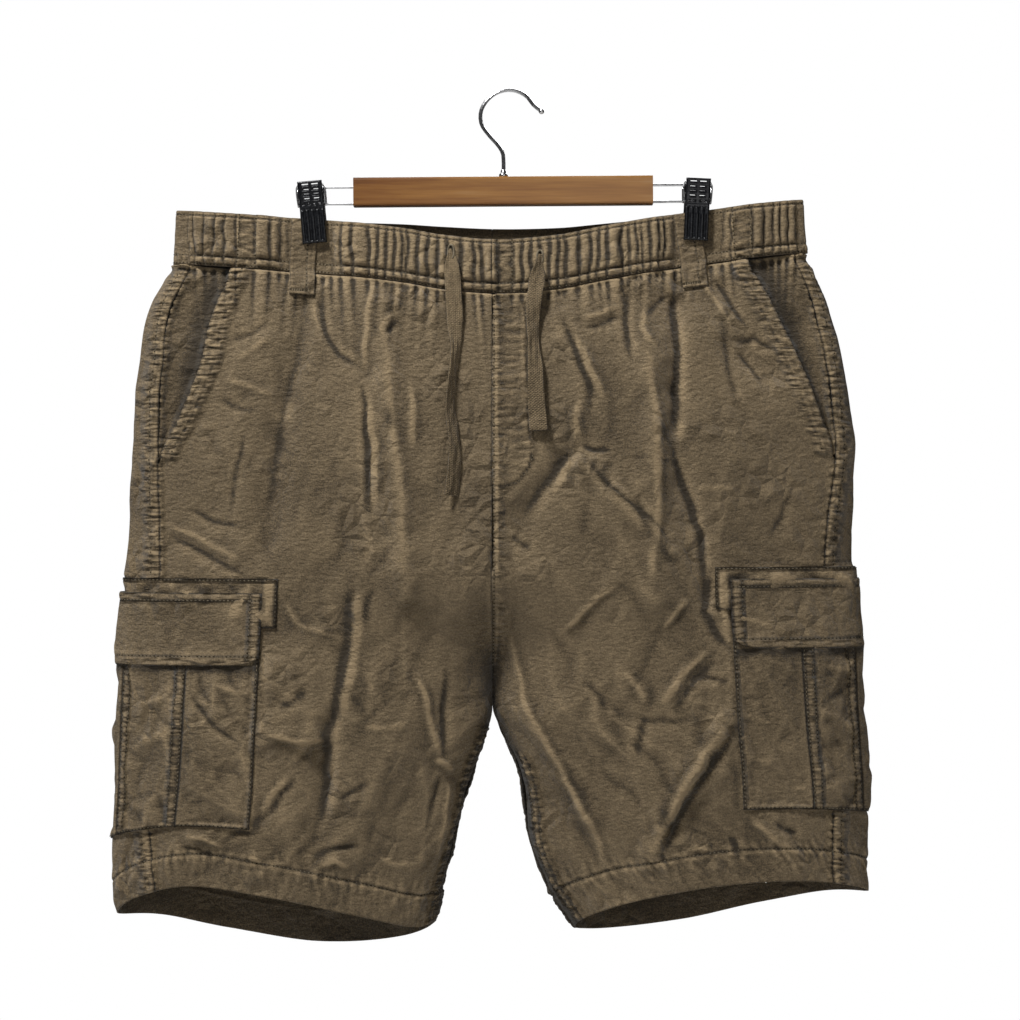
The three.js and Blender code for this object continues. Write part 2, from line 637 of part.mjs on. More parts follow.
// Hook: a wire from its ball tip over the rail and down into the bar
const HOOK_STOPS = [
  [26.5, -15.2], [21.1, -10.9], [15.8, -4.2], [9, 0], [0, 1.6], [-9.5, -0.8], [-17, -6.6],
  [-21.6, -14], [-22.7, -20.6], [-21.5, -27.1], [-15.5, -35.6], [-7.7, -44.3], [-4.4, -50],
  [-3.7, -57], [-3.7, BAR.z + BAR.height / 2 + SEAM_GAP],
];
function roundSection(radius, sides) {
  const shape = new THREE.Shape();
  for (let i = 0; i < sides; i += 1) {
    const turn = (2 * Math.PI * i) / sides;
    const spot = [radius * Math.cos(turn), radius * Math.sin(turn)];
    if (i) shape.lineTo(...spot);
    else shape.moveTo(...spot);
  }
  return shape;
}
const hookPath = new THREE.CatmullRomCurve3(HOOK_STOPS.map(([x, z]) => new THREE.Vector3(x, 0, z)));
add('hanger_hook', new THREE.ExtrudeGeometry(roundSection(WIRE_RADIUS, 8), {
  steps: 34, extrudePath: hookPath,
}), MATERIALS.steel);

// Bar: a wooden slat with softened edges, a touch out of level
const hanger = new THREE.Group();
hanger.position.set(BAR.x, 0, BAR.z);
hanger.rotation.y = BAR.tilt;
part.add(hanger);
const slat = new THREE.Shape();
const halfDepth = BAR.depth / 2;
const halfHeight = BAR.height / 2;
slat.moveTo(-halfDepth + BAR.corner, -halfHeight);
slat.lineTo(halfDepth - BAR.corner, -halfHeight);
slat.quadraticCurveTo(halfDepth, -halfHeight, halfDepth, -halfHeight + BAR.corner);
slat.lineTo(halfDepth, halfHeight - BAR.corner);
slat.quadraticCurveTo(halfDepth, halfHeight, halfDepth - BAR.corner, halfHeight);
slat.lineTo(-halfDepth + BAR.corner, halfHeight);
slat.quadraticCurveTo(-halfDepth, halfHeight, -halfDepth, halfHeight - BAR.corner);
slat.lineTo(-halfDepth, -halfHeight + BAR.corner);
slat.quadraticCurveTo(-halfDepth, -halfHeight, -halfDepth + BAR.corner, -halfHeight);
const barGeometry = new THREE.ExtrudeGeometry(slat, {
  depth: BAR.length, bevelEnabled: false, curveSegments: 3,
});
barGeometry.rotateX(Math.PI / 2);
barGeometry.rotateZ(Math.PI / 2);
barGeometry.center();
add('hanger_bar', barGeometry, MATERIALS.wood, hanger);

// Prongs: two wires from each end of the bar to the core of its clip
const CORE = { width: 14, depth: 4.8, height: 20, drop: 11.5 };
const PRONG_Z = { upper: 4.3, lower: -9.3 };
for (const [side, out] of [['left', -1], ['right', 1]]) {
  for (const [level, rise] of Object.entries(PRONG_Z)) {
    const start = BAR.x + out * (BAR.length / 2 + SEAM_GAP);
    const lean = Math.sin(CLIP_LEAN[side]) * (BAR.z + rise - CLIP_TOP[side]);
    const end = CLIP_X[side] + lean - out * (CORE.width / 2 + 0.5);
    const wire = new THREE.CylinderGeometry(PRONG_RADIUS, PRONG_RADIUS, Math.abs(end - start), 8);
    wire.rotateZ(Math.PI / 2);
    const middle = (start + end) / 2;
    const mesh = add(`prong_${side}_${level}`, wire, MATERIALS.steel);
    mesh.position.set(middle, CLIP_Y, BAR.z + rise - (middle - BAR.x) * Math.sin(BAR.tilt));
    mesh.rotation.y = BAR.tilt;
  }
}

// Clips: two jaws that pinch the waistband, with a core between them above it
const JAW = [
  [-5.2, -CLIP_HEIGHT], [-5.2, -29], [-2.8, -21.5], [-2.8, -12], [-7.2, 0], [-10, 0],
  [-7, -14], [-6.2, -24], [-8, -30], [-8, -CLIP_HEIGHT],
];
function jawGeometry(back) {
  const shape = new THREE.Shape();
  JAW.forEach(([y, z], i) => (i ? shape.lineTo(back * y, z) : shape.moveTo(back * y, z)));
  const geometry = new THREE.ExtrudeGeometry(shape, { depth: CLIP_WIDTH, bevelEnabled: false });
  geometry.translate(0, 0, -CLIP_WIDTH / 2);
  geometry.rotateX(Math.PI / 2);
  geometry.rotateZ(Math.PI / 2);
  return geometry;
}
for (const side of ['left', 'right']) {
  const clip = new THREE.Group();
  clip.position.set(CLIP_X[side], CLIP_Y, CLIP_TOP[side]);
  clip.rotation.y = CLIP_LEAN[side];
  part.add(clip);
  add(`clip_${side}_front`, jawGeometry(1), MATERIALS.black, clip);
  add(`clip_${side}_back`, jawGeometry(-1), MATERIALS.black, clip);
  const core = add(`clip_${side}_core`, new THREE.BoxGeometry(CORE.width, CORE.depth, CORE.height),
    MATERIALS.black, clip);
  core.position.z = -CORE.drop;
}

export default part;
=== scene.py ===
# Cargo shorts on a clip hanger: the looks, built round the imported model.
# Tables and shapes are in millimetres, as in the part's source, and become metres in make_mesh.
# The flat sizes of sheets and all of the lights are in metres.

import math

import bpy
import numpy as np
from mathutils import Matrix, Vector


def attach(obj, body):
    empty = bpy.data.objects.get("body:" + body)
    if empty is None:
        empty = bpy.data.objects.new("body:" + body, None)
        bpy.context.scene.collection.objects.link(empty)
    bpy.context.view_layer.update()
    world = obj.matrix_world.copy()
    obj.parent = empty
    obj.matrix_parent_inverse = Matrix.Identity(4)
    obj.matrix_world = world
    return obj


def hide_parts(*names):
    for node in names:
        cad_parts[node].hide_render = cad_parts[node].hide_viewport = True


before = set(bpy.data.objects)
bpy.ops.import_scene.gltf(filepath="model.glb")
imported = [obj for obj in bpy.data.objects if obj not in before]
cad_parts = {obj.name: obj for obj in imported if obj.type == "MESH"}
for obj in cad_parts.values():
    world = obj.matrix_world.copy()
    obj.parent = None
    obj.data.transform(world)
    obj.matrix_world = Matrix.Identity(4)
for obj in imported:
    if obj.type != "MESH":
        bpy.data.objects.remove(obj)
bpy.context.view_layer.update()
MM = 0.001
RNG = np.random.default_rng(7)

# Driving sizes of the cloth. Panels tuck in behind the band, and a slit, in radians, parts them. The waist's
# curve bends the cloth over WAIST_BEND below it.
CLOTH = 1.3
POCKET_CLOTH = 1.4
BAND_CLOTH = 2.4
SEAM_GAP = 0.3
TUCK = 2.6
ANGLE_GAP = 0.0006
CENTRE_X = -13.0
BAND_HEIGHT = 44.0
WAIST_BEND = 260.0
HEM_HEIGHT = 26.0
CROTCH_TOP = -390.0
CROTCH = -505.0

# Driving sizes of the hanger
CLIP_X = {"left": -162.0, "right": 155.5}
CLIP_TOP = {"left": -74.6, "right": -72.2}
CLIP_LEAN = {"left": -0.087, "right": 0.045}
CLIP_WIDTH = 20.0
CLIP_HEIGHT = 50.4
CLIP_Y = -0.8
BAR_TOP = -69.95

# Camera: level, in front of the middle of the picture
CAMERA = {"x": 1.6, "y": -1600.0, "z": -342.8, "picture_width": 836.4}

# Legs as the picture shows them: which way is out, the heights of their seams and pockets, how far the slash
# pocket gapes, and the seeds and turn of their crumples
LEGS = {
    "left": dict(side="left", out=-1, top=-141.6, hem=-673, hem_bend=-470, inseam_back=4, gape=1,
                 slash_end=-302, patch_top=-398, flap_top=-409.5, patch_low=-438, flap_low=-469,
                 pocket_low=-612, crumple_seed=3.3, crumple_turn=-0.35, pocket_seed=3),
    "right": dict(side="right", out=1, top=-132.6, hem=-655, hem_bend=-455, inseam_back=9, gape=4,
                  slash_end=-298, patch_top=-388.5, flap_top=-398, patch_low=-423, flap_low=-455,
                  pocket_low=-590, crumple_seed=9.1, crumple_turn=0.35, pocket_seed=140),
}


# A table with named columns
def table(names, *rows):
    return dict(zip(names.split(), np.array(rows, float).T))


# Outer fold of each leg at its base heights
OUTER = table(
    "height left right",
    (-88, -272, 242), (-136, -275, 246), (-157, -281.6, 255.5), (-173, -290.7, 262),
    (-194, -297.2, 267.5), (-221, -300, 273.5), (-247, -304.2, 278), (-300, -308.7, 284),
    (-354, -311, 283), (-407, -314, 284), (-460, -317.4, 287), (-513, -320, 289.5),
    (-566, -321.8, 293), (-620, -324, 294), (-673, -319.5, 295))

# Inner fold of each leg, which parts from the centre line below the crotch
INNER = table(
    "height left right",
    (-390, -13.2, -12.8), (-505, -13.6, -12.4), (-531, -18, -1), (-548, -25.4, 9),
    (-575, -33.5, 15), (-600, -40, 20), (-622, -46.5, 32), (-640, -53, 45), (-655, -57, 55),
    (-673, -60, 62))

# Half the depth from front to back, and how blunt the side folds are
DEPTH = table(
    "height half blunt",
    (-88, 13, 0.6), (-136, 15, 0.6), (-170, 20, 0.66), (-220, 27, 0.76), (-300, 34, 0.9),
    (-400, 39, 1), (-505, 42, 1), (-600, 43, 1), (-673, 43, 1))

# Top edge of the waist, in front and behind
WAIST = table(
    "x front back",
    (-272, -97.6, -97.6), (-219, -101.3, -101), (-151, -105.8, -105), (-87, -113, -107),
    (-55, -118.5, -109), (-9, -122.5, -111), (42, -118.5, -110), (75, -112, -107),
    (115, -104.7, -103), (148, -99.3, -99), (206, -92.3, -92.3), (242, -88.6, -88.6))

# Lower edge of the hem by the angle round the leg, from the inner fold over the front to the back
HEM = table(
    "degrees left right",
    (0, -678, -687), (15, -681, -671), (30, -668, -655), (45, -653, -643.5), (60, -644.5, -640.5),
    (75, -657, -647), (90, -673, -655), (110, -680, -660), (125, -694, -672), (142, -706, -688),
    (160, -699, -693), (180, -678, -687))

# Reach from the outer fold to the pocket's front edge, the slash line and the side seam
REACH = {
    "left": table("height edge slash seam", (-141, 95, 50, 16), (-185, 98, 54, 18), (-231, 101, 50, 20),
                  (-270, 103, 38, 22), (-302, 105, 26, 24), (-398, 117, 56, 30), (-673, 117, 56, 35)),
    "right": table("height edge slash seam", (-132, 90, 50, 11), (-175, 92, 48, 13), (-211, 94, 40, 14),
                   (-266, 97, 27.5, 16), (-298, 98, 20, 17), (-388, 105, 47, 26), (-655, 105, 47, 32)),
}

# How far behind the outer fold the cargo pocket's back edge lies
BACK_REACH = 50.0

# Largest folds, the same as in the part's source: two ends, width and rise
FOLDS = {
    "front": [
        (-168, -178, -182, -264, 11, -4), (-182, -264, -196, -368, 12, -3.5),
        (-154, -178, -115, -230, 7, -2.5), (-104, -172, -93, -270, 10, 4),
        (-93, -270, -82, -413, 13, 4), (-141, -511, -158, -618, 11, -4),
        (-193, -526, -142, -524, 9, 2.5), (136, -178, 137, -280, 8, -4),
        (137, -280, 159, -413, 9, -3.5), (114, -205, 121, -413, 13, 4),
        (51, -295, 11, -350, 12, -3), (62, -307, 130, -377, 9, 3), (43, -185, 65, -240, 8, 2.5),
        (186, -212, 214, -230, 13, -4), (171, -514, 126, -588, 9, 4), (126, -588, 111, -626, 9, 3),
        (20, -508, 66, -591, 10, 3),
    ],
    "back": [
        (-120, -180, -96, -330, 14, 4), (-190, -180, -200, -300, 13, -4),
        (-40, -330, -130, -430, 14, 3), (-130, -520, -170, -640, 14, -4),
        (70, -180, 84, -320, 14, -4), (150, -180, 170, -340, 14, 4), (20, -330, 110, -440, 14, 3),
        (120, -510, 180, -640, 14, 4),
    ],
}


# Small maths on arrays
def mix(a, b, share):
    return a + (b - a) * share


def clamp(value):
    return np.clip(value, 0.0, 1.0)


def smooth(value):
    share = clamp(value)
    return share * share * (3 - 2 * share)


def bell(value):
    return np.exp(-value ** 2)


def by_face(front, work, *places):
    """What a function of a face gives for the front or for the back at each spot."""
    return np.where(front, work("front", *places), work("back", *places))


def read(rows, key, at, column):
    """One column of a table at a key, along a smooth curve through its rows."""
    keys, values = rows[key], rows[column]
    order = 1.0 if keys[-1] > keys[0] else -1.0
    at = np.asarray(at, float)
    last = len(keys) - 1
    i = np.clip(np.searchsorted(order * keys, order * at) - 1, 0, last - 1)
    before = np.maximum(np.arange(last + 1) - 1, 0)
    after = np.minimum(np.arange(last + 1) + 1, last)
    slope = (values[after] - values[before]) / (keys[after] - keys[before])
    span = keys[i + 1] - keys[i]
    s = clamp((at - keys[i]) / span)
    s2, s3 = s * s, s * s * s
    return ((2 * s3 - 3 * s2 + 1) * values[i] + (s3 - 2 * s2 + s) * span * slope[i]
            + (3 * s2 - 2 * s3) * values[i + 1] + (s3 - s2) * span * slope[i + 1])


# Gradient noise on points, about -1 to 1
LATTICE = 32
_turn = RNG.normal(size=(LATTICE, LATTICE, LATTICE, 3))
GRADIENTS = _turn / np.linalg.norm(_turn, axis=-1, keepdims=True)


def noise(points, size, shift=0.0):
    spot = points / size + shift
    cell = np.floor(spot).astype(int)
    part = spot - cell
    ease = part * part * part * (part * (part * 6 - 15) + 10)
    total = np.zeros(points.shape[:-1])
    for corner in np.ndindex(2, 2, 2):
        at = (cell + corner) % LATTICE
        gradient = GRADIENTS[at[..., 0], at[..., 1], at[..., 2]]
        weight = np.prod(np.where(corner, ease, 1 - ease), axis=-1)
        total += weight * np.sum(gradient * (part - corner), axis=-1)
    return 1.6 * total


# Flat facets with straight creases between them, about -1 to 1, on cells of a size in mm
CELLS = 64
HEIGHTS = RNG.uniform(-1, 1, (CELLS, CELLS))


def facets(across, down, wide, tall, turn, shift):
    spot = np.stack([across, down, np.full_like(across, shift)], axis=-1)
    across = across + 0.4 * wide * noise(spot, wide * 1.6, shift)
    down = down + 0.4 * tall * noise(spot, tall * 1.6, shift + 4.4)
    a = (across * math.cos(turn) - down * math.sin(turn)) / wide + shift
    b = (across * math.sin(turn) + down * math.cos(turn)) / tall + shift
    i, j = np.floor(a).astype(int), np.floor(b).astype(int)
    a, b = a - i, b - j
    flip = (i + j) % 2 == 1
    a = np.where(flip, 1 - a, a)
    left, right = np.where(flip, i + 1, i) % CELLS, np.where(flip, i, i + 1) % CELLS
    low, high = j % CELLS, (j + 1) % CELLS
    corner, far = HEIGHTS[left, low], HEIGHTS[right, high]
    by_a = corner + a * (HEIGHTS[right, low] - corner) + b * (far - HEIGHTS[right, low])
    by_b = corner + b * (HEIGHTS[left, high] - corner) + a * (far - HEIGHTS[left, high])
    return np.where(a > b, by_a, by_b)


# The garment's shape
def slack(x, height):
    """The share of the depth that the pressing clips leave at x."""
    near = [np.exp(-((x - clip_x) / 30) ** 4) for clip_x in CLIP_X.values()]
    return 1 - 0.75 * np.maximum(*near) * (1 - smooth((-125 - height) / 75))


def segment_distance(x, z, x1, z1, x2, z2):
    """Distance from a segment and the share along it, unclamped."""
    dx, dz = x2 - x1, z2 - z1
    along = ((x - x1) * dx + (z - z1) * dz) / (dx * dx + dz * dz)
    held = clamp(along)
    return np.hypot(x - x1 - dx * held, z - z1 - dz * held), along


def fold_rise(face, x, z):
    rise = np.zeros_like(x)
    for x1, z1, x2, z2, width, high in FOLDS[face]:
        away, _ = segment_distance(x, z, x1, z1, x2, z2)
        rise += high * bell(away / width)
    return rise


def fold_line(face, x, z):
    """The folds as continuous lines, without the doubling where two segments meet."""
    high_part, low_part = np.zeros_like(x), np.zeros_like(x)
    for x1, z1, x2, z2, width, high in FOLDS[face]:
        away, _ = segment_distance(x, z, x1, z1, x2, z2)
        rise = high * bell(away / width)
        high_part, low_part = np.maximum(high_part, rise), np.minimum(low_part, rise)
    return high_part + low_part


def closure(height):
    return smooth((CROTCH_TOP - height) / (CROTCH_TOP - CROTCH))


def waist_top(face, x):
    return read(WAIST, "x", x, face)


def outer_fold(side, height):
    return read(OUTER, "height", height, side)


def inner_fold(side, height):
    return read(INNER, "height", height, side)


def leg_base(leg, angle, height):
    """Points round one leg: angle 0 is the centre front, pi / 2 the outer fold, pi the centre back."""
    angle, height = np.broadcast_arrays(np.asarray(angle, float), np.asarray(height, float))
    outer = outer_fold(leg["side"], height)
    inner = inner_fold(leg["side"], height)
    half = read(DEPTH, "height", height, "half")
    blunt = read(DEPTH, "height", height, "blunt")
    closed = closure(height)
    s, c = np.sin(angle), np.cos(angle)
    x = mix(CENTRE_X + (outer - CENTRE_X) * s, inner + (outer - inner) * s * s, closed)
    open_y = -half * np.sign(c) * np.abs(c) ** blunt * slack(x, height)
    closed_y = -half * 2 * s * c + leg["inseam_back"] * c * c
    y = mix(open_y, closed_y, closed)
    front = c >= 0
    waist = by_face(front, waist_top, x)
    waist = waist - BAND_HEIGHT - leg["top"]
    hem = read(HEM, "degrees", np.degrees(angle), leg["side"]) - leg["hem"]
    waist_share = clamp(1 - (leg["top"] - height) / WAIST_BEND) ** 2
    hem_share = clamp((leg["hem_bend"] - height) / (leg["hem_bend"] - leg["hem"] - HEM_HEIGHT - 4)) ** 3
    z = height + waist * waist_share + hem * hem_share
    near_edge = smooth((leg["top"] - height) / 30) * smooth(np.abs(c) * 2.5)
    rise = by_face(front, fold_rise, x, z)
    y = y - np.sign(c) * rise * near_edge
    return np.stack([x, y, z], axis=-1)


def angle_at(leg, reach, height):
    """The angle in front of the outer fold at a reach from it."""
    out = leg["out"]
    outer = outer_fold(leg["side"], height)
    inner = inner_fold(leg["side"], height)
    closed = closure(height)
    square = np.maximum(out * closed * (outer - inner), 1e-6)
    line = out * (1 - closed) * (outer - CENTRE_X)
    rest = np.maximum(out * (outer - out * reach - mix(CENTRE_X, inner, closed)), 0)
    return np.arcsin(clamp((np.sqrt(line * line + 4 * square * rest) - line) / (2 * square)))


def unit(vectors):
    return vectors / np.maximum(np.linalg.norm(vectors, axis=-1, keepdims=True), 1e-9)


def leg_normal(leg, angle, height):
    turn, step = 0.02, 2.0
    round_leg = leg_base(leg, angle + turn, height) - leg_base(leg, angle - turn, height)
    up = leg_base(leg, angle, height + step) - leg_base(leg, angle, height - step)
    return unit(np.cross(round_leg, up) * leg["out"])


def reach_of(leg, name, height):
    return read(REACH[leg["side"]], "height", height, name)


def line_angle(leg, name, height):
    """The angle of a named line down the leg: its seam, slash line, pocket edge and so on."""
    height = np.asarray(height, float)
    seam = reach_of(leg, "seam", height)
    if name == "centre":
        return np.zeros_like(height)
    if name == "last":
        return np.full_like(height, math.pi)
    if name == "patch":
        return angle_at(leg, reach_of(leg, "edge", height) + 12, height)
    if name == "second":
        return angle_at(leg, seam * 0.2, height)
    if name == "back_edge":
        return math.pi - angle_at(leg, np.full_like(height, BACK_REACH), height)
    return angle_at(leg, reach_of(leg, name, height), height)


# The stitched curve of the fly
FLY = [
    (13.7, -167), (16.2, -238), (17.7, -279), (20.1, -294.6), (16.9, -308.3), (7.3, -320.3), (-4.8, -324.4),
]

# Fine creases: width, how much wider the left side is, rise, and the points downward
CREASES = {
    "front": [
        (3.4, 0.3, -1.6, (-155, -172), (-148, -196), (-137, -217), (-115, -231)),
        (3.2, 0.4, 1.8, (-111, -160), (-113, -196), (-115, -232)),
        (6.0, 0.0, -1.4, (-167, -170), (-172, -215), (-181, -264), (-188, -299), (-196, -368)),
        (8.0, 0.5, 1.2, (-104, -166), (-99, -205), (-95, -247), (-85, -333), (-82, -413)),
        (3.2, 0.0, -1.2, (-87, -185), (-92, -193), (-99, -202)),
        (2.4, 0.0, 1.4, (-92, -182), (-98, -192), (-104, -200)),
        (2.2, 0.4, -1.5, (-118, -236), (-114, -262), (-111, -312), (-112, -356)),
        (2.6, 0.2, 1.2, (-112, -248), (-107, -290), (-105, -345)),
        (2.6, 0.3, 1.3, (-78, -238), (-77, -265), (-76, -296)),
        (4.0, 0.0, -1.4, (-193, -190), (-208, -200), (-229, -207)),
        (3.0, 0.0, 0.9, (-190, -200), (-206, -212), (-222, -222)),
        (2.2, 0.2, -0.9, (-212, -278), (-220, -318), (-224, -350)),
        (4.0, 0.0, -1.7, (-277, -362), (-246, -378), (-208, -398)),
        (3.4, 0.0, 1.3, (-284, -352), (-250, -366), (-214, -385)),
        (3.0, 0.0, -1.2, (-262, -340), (-238, -352), (-210, -356)),
        (3.4, 0.0, 1.0, (-230, -236), (-205, -246), (-186, -250)),
        (3.0, 0.0, -0.9, (-236, -252), (-214, -262), (-198, -260)),
        (4.0, 0.5, -1.6, (-126, -392), (-129, -455), (-141, -514), (-147, -576), (-159, -616)),
        (3.2, 0.0, 1.2, (-119, -398), (-121, -450), (-133, -512)),
        (2.6, 0.0, 1.5, (-193, -524), (-168, -527), (-142, -528)),
        (3.0, 0.0, -1.3, (-185, -501), (-172, -496), (-159, -487)),
        (2.6, 0.0, 1.4, (-174, -555), (-186, -567), (-198, -586)),
        (2.6, 0.0, -1.0, (-168, -556), (-180, -569), (-190, -588)),
        (3.0, 0.3, 1.6, (-73, -470), (-63, -508), (-54, -548)),
        (3.0, -0.3, -1.6, (-50, -468), (-52, -508), (-53, -549)),
        (2.4, 0.0, 1.5, (-60, -545), (-52, -549), (-44, -556)),
        (4.0, 0.3, -1.4, (-54, -552), (-61, -582), (-70, -612)),
        (3.0, 0.0, 1.2, (-46, -556), (-52, -590), (-60, -628)),
        (3.4, 0.0, -0.9, (-138, -577), (-125, -569), (-110, -560)),
        (3.4, 0.0, 0.9, (-120, -517), (-98, -518), (-76, -512)),
        (2.8, 0.0, 1.0, (-182, -413), (-168, -436), (-133, -445)),
        (2.6, 0.0, -1.0, (-108, -402), (-113, -420), (-118, -438)),
        (3.4, 0.0, -2.0, (-160, -622), (-143, -616), (-118, -610)),
        (2.6, 0.0, 1.6, (-154, -628), (-138, -624), (-126, -632)),
        (3.2, 0.0, 1.2, (-104, -622), (-92, -628), (-76, -626)),
        (4.2, 0.0, -1.7, (-266, -611), (-250, -614), (-234, -622)),
        (3.2, 0.0, 2.0, (-262, -603), (-246, -606), (-226, -614)),
        (4.0, 0.0, 1.4, (-214, -618), (-196, -626), (-180, -628)),
        (2.8, 0.3, -2.2, (136, -163), (137, -212), (136, -282)),
        (2.8, 0.3, -1.8, (127, -279), (144, -328), (154, -360), (160, -414)),
        (6.0, 0.6, 1.6, (113, -206), (121, -281), (121, -351), (114, -413)),
        (3.4, 0.3, -1.6, (99, -158), (95, -187), (100, -224)),
        (2.8, 0.0, -1.3, (135, -167), (122, -174), (110, -188)),
        (2.6, 0.0, 1.1, (112, -178), (108, -196), (120, -214)),
        (3.2, 0.0, -1.3, (62, -196), (75, -193), (94, -183)),
        (2.8, 0.0, 1.3, (60, -188), (75, -185), (90, -176)),
        (4.4, 0.3, -1.8, (42, -183), (54, -212), (65, -241), (66, -268)),
        (3.4, 0.0, 1.3, (52, -200), (68, -232), (78, -256)),
        (2.4, 0.0, -1.7, (58, -291), (68, -294), (82, -295)),
        (2.4, 0.0, 1.4, (56, -297), (46, -310), (36, -330)),
        (5.0, 0.3, -1.6, (52, -293), (34, -316), (10, -350)),
        (2.6, 0.0, 1.4, (58, -250), (54, -272), (55, -292)),
        (2.6, 0.0, -1.2, (60, -300), (91, -332), (116, -350), (132, -372)),
        (3.0, 0.0, -1.7, (184, -208), (200, -204), (218, -213)),
        (3.0, 0.0, -1.2, (186, -213), (204, -237), (213, -231)),
        (3.6, 0.0, -1.9, (165, -150), (178, -170), (195, -197)),
        (3.2, 0.0, 1.2, (158, -150), (168, -172), (182, -196)),
        (4.6, 0.2, -1.2, (172, -180), (180, -239), (188, -266)),
        (3.0, 0.0, 0.7, (150, -325), (166, -326), (182, -325)),
        (4.2, 0.0, -1.4, (231, -322), (222, -346), (210, -368)),
        (5.0, 0.0, -1.5, (0, -361), (9, -368), (19, -375)),
        (3.2, 0.3, 1.8, (180, -506), (153, -548), (134, -578), (112, -628)),
        (2.6, 0.0, -1.4, (186, -512), (159, -553), (140, -584), (120, -630)),
        (3.8, 0.3, 2.0, (162, -455), (143, -473), (124, -501)),
        (2.8, 0.0, -1.3, (168, -462), (150, -480), (132, -506)),
        (3.8, 0.2, 1.3, (96, -393), (62, -423), (37, -448)),
        (3.0, 0.2, 1.3, (147, -412), (134, -426), (122, -440)),
        (3.6, 0.4, -1.8, (166, -385), (158, -424), (170, -444), (184, -460)),
        (3.0, 0.0, 1.2, (176, -398), (172, -424), (184, -446)),
        (6.0, 0.6, 1.8, (0, -428), (15, -502), (47, -557), (74, -610), (81, -660)),
        (3.6, 0.0, -1.2, (102, -553), (108, -512), (157, -512)),
        (3.2, 0.0, -1.1, (146, -480), (162, -477), (180, -479)),
        (3.4, 0.0, -1.7, (212, -594), (222, -600), (234, -603)),
        (2.8, 0.0, 1.3, (196, -590), (206, -600), (216, -612)),
        (2.8, 0.0, -1.3, (178, -603), (182, -612), (184, -624)),
        (3.0, 0.0, 1.2, (142, -617), (152, -613), (162, -616)),
        (3.0, 0.0, 1.0, (90, -470), (104, -484), (112, -500)),
        (2.8, 0.0, -0.9, (60, -480), (74, -492), (80, -508)),
        (3.0, 0.0, 1.0, (196, -520), (186, -534), (190, -552)),
    ],
    "back": [
        (3.4, 0.3, -1.6, (-120, -165), (-108, -196), (-92, -226)),
        (3.2, 0.4, 1.7, (-150, -164), (-140, -205), (-128, -250)),
        (5.0, 0.3, 1.8, (-190, -176), (-196, -232), (-204, -300), (-208, -372)),
        (3.0, 0.0, -1.4, (-176, -182), (-182, -240), (-186, -290)),
        (2.8, 0.0, 1.2, (-230, -186), (-236, -226), (-240, -262)),
        (3.6, 0.0, -1.8, (-24, -322), (-58, -352), (-104, -382), (-132, -430)),
        (3.4, 0.0, 1.5, (-22, -346), (-60, -374), (-96, -402)),
        (4.0, 0.3, -1.5, (-128, -500), (-142, -560), (-158, -612), (-172, -648)),
        (3.0, 0.0, 1.4, (-116, -512), (-126, -560), (-142, -604)),
        (2.8, 0.0, 1.2, (-210, -470), (-190, -492), (-178, -520)),
        (3.2, 0.0, -1.4, (-60, -560), (-66, -592), (-80, -624)),
        (3.0, 0.0, 1.3, (-220, -600), (-200, -612), (-186, -632)),
        (3.6, 0.0, -1.9, (-260, -430), (-236, -446), (-210, -452)),
        (3.2, 0.3, 1.5, (-60, -170), (-56, -204), (-60, -244)),
        (3.4, 0.3, -1.6, (74, -164), (80, -220), (86, -282)),
        (3.2, 0.4, 1.7, (96, -164), (100, -212), (110, -260)),
        (5.0, 0.3, 1.6, (150, -176), (158, -236), (168, -300), (174, -366)),
        (2.8, 0.0, -1.3, (180, -172), (188, -216), (200, -250)),
        (3.0, 0.0, -1.8, (4, -326), (36, -352), (80, -388), (112, -440)),
        (3.2, 0.0, 1.4, (8, -352), (44, -380), (76, -412)),
        (4.0, 0.3, 1.5, (118, -496), (134, -552), (156, -600), (178, -642)),
        (2.8, 0.0, -1.3, (130, -500), (146, -548), (168, -594)),
        (3.0, 0.0, 1.3, (60, -480), (84, -500), (96, -530)),
        (3.2, 0.0, -1.5, (210, -430), (190, -446), (166, -450)),
        (2.8, 0.0, -1.2, (40, -560), (52, -592), (70, -620)),
        (3.0, 0.0, 1.2, (214, -560), (200, -584), (206, -606)),
        (2.8, 0.0, 1.1, (20, -180), (26, -210), (22, -240)),
    ],
}


def line_rise(x, z, points, width, skew, high, tapered=True):
    """A trough or ridge along a line through points, wider on one side, that fades at its ends."""
    rise = np.zeros_like(x)
    spots = np.array(points, float)
    margin = 4 * width
    low, top = spots.min(0) - margin, spots.max(0) + margin
    near = (x > low[0]) & (x < top[0]) & (z > low[1]) & (z < top[1])
    if not near.any():
        return rise
    px, pz = x[near], z[near]
    lengths = np.hypot(*np.diff(spots, axis=0).T)
    starts = np.concatenate([[0], np.cumsum(lengths)])
    best, side, along = np.full_like(px, 1e9), np.ones_like(px), np.zeros_like(px)
    for i, length in enumerate(lengths):
        (x1, z1), (x2, z2) = spots[i], spots[i + 1]
        away, share = segment_distance(px, pz, x1, z1, x2, z2)
        nearer = away < best
        best = np.where(nearer, away, best)
        side = np.where(nearer, np.sign((px - x1) * (z2 - z1) - (pz - z1) * (x2 - x1)), side)
        along = np.where(nearer, starts[i] + clamp(share) * length, along)
    taper = 1.0
    if tapered:
        taper = smooth(np.minimum(along, starts[-1] - along) / (0.35 * starts[-1]) + 0.12)
    rise[near] = high * taper * np.exp(-(best / (width * (1 + skew * side))) ** 1.15)
    return rise


def crease_rise(face, x, z):
    return sum(line_rise(x, z, points, width, skew, high) for width, skew, high, *points in CREASES[face])


# Distances round a leg, looked up on a grid of heights and angles
TURNS = np.linspace(0, math.pi, 241)


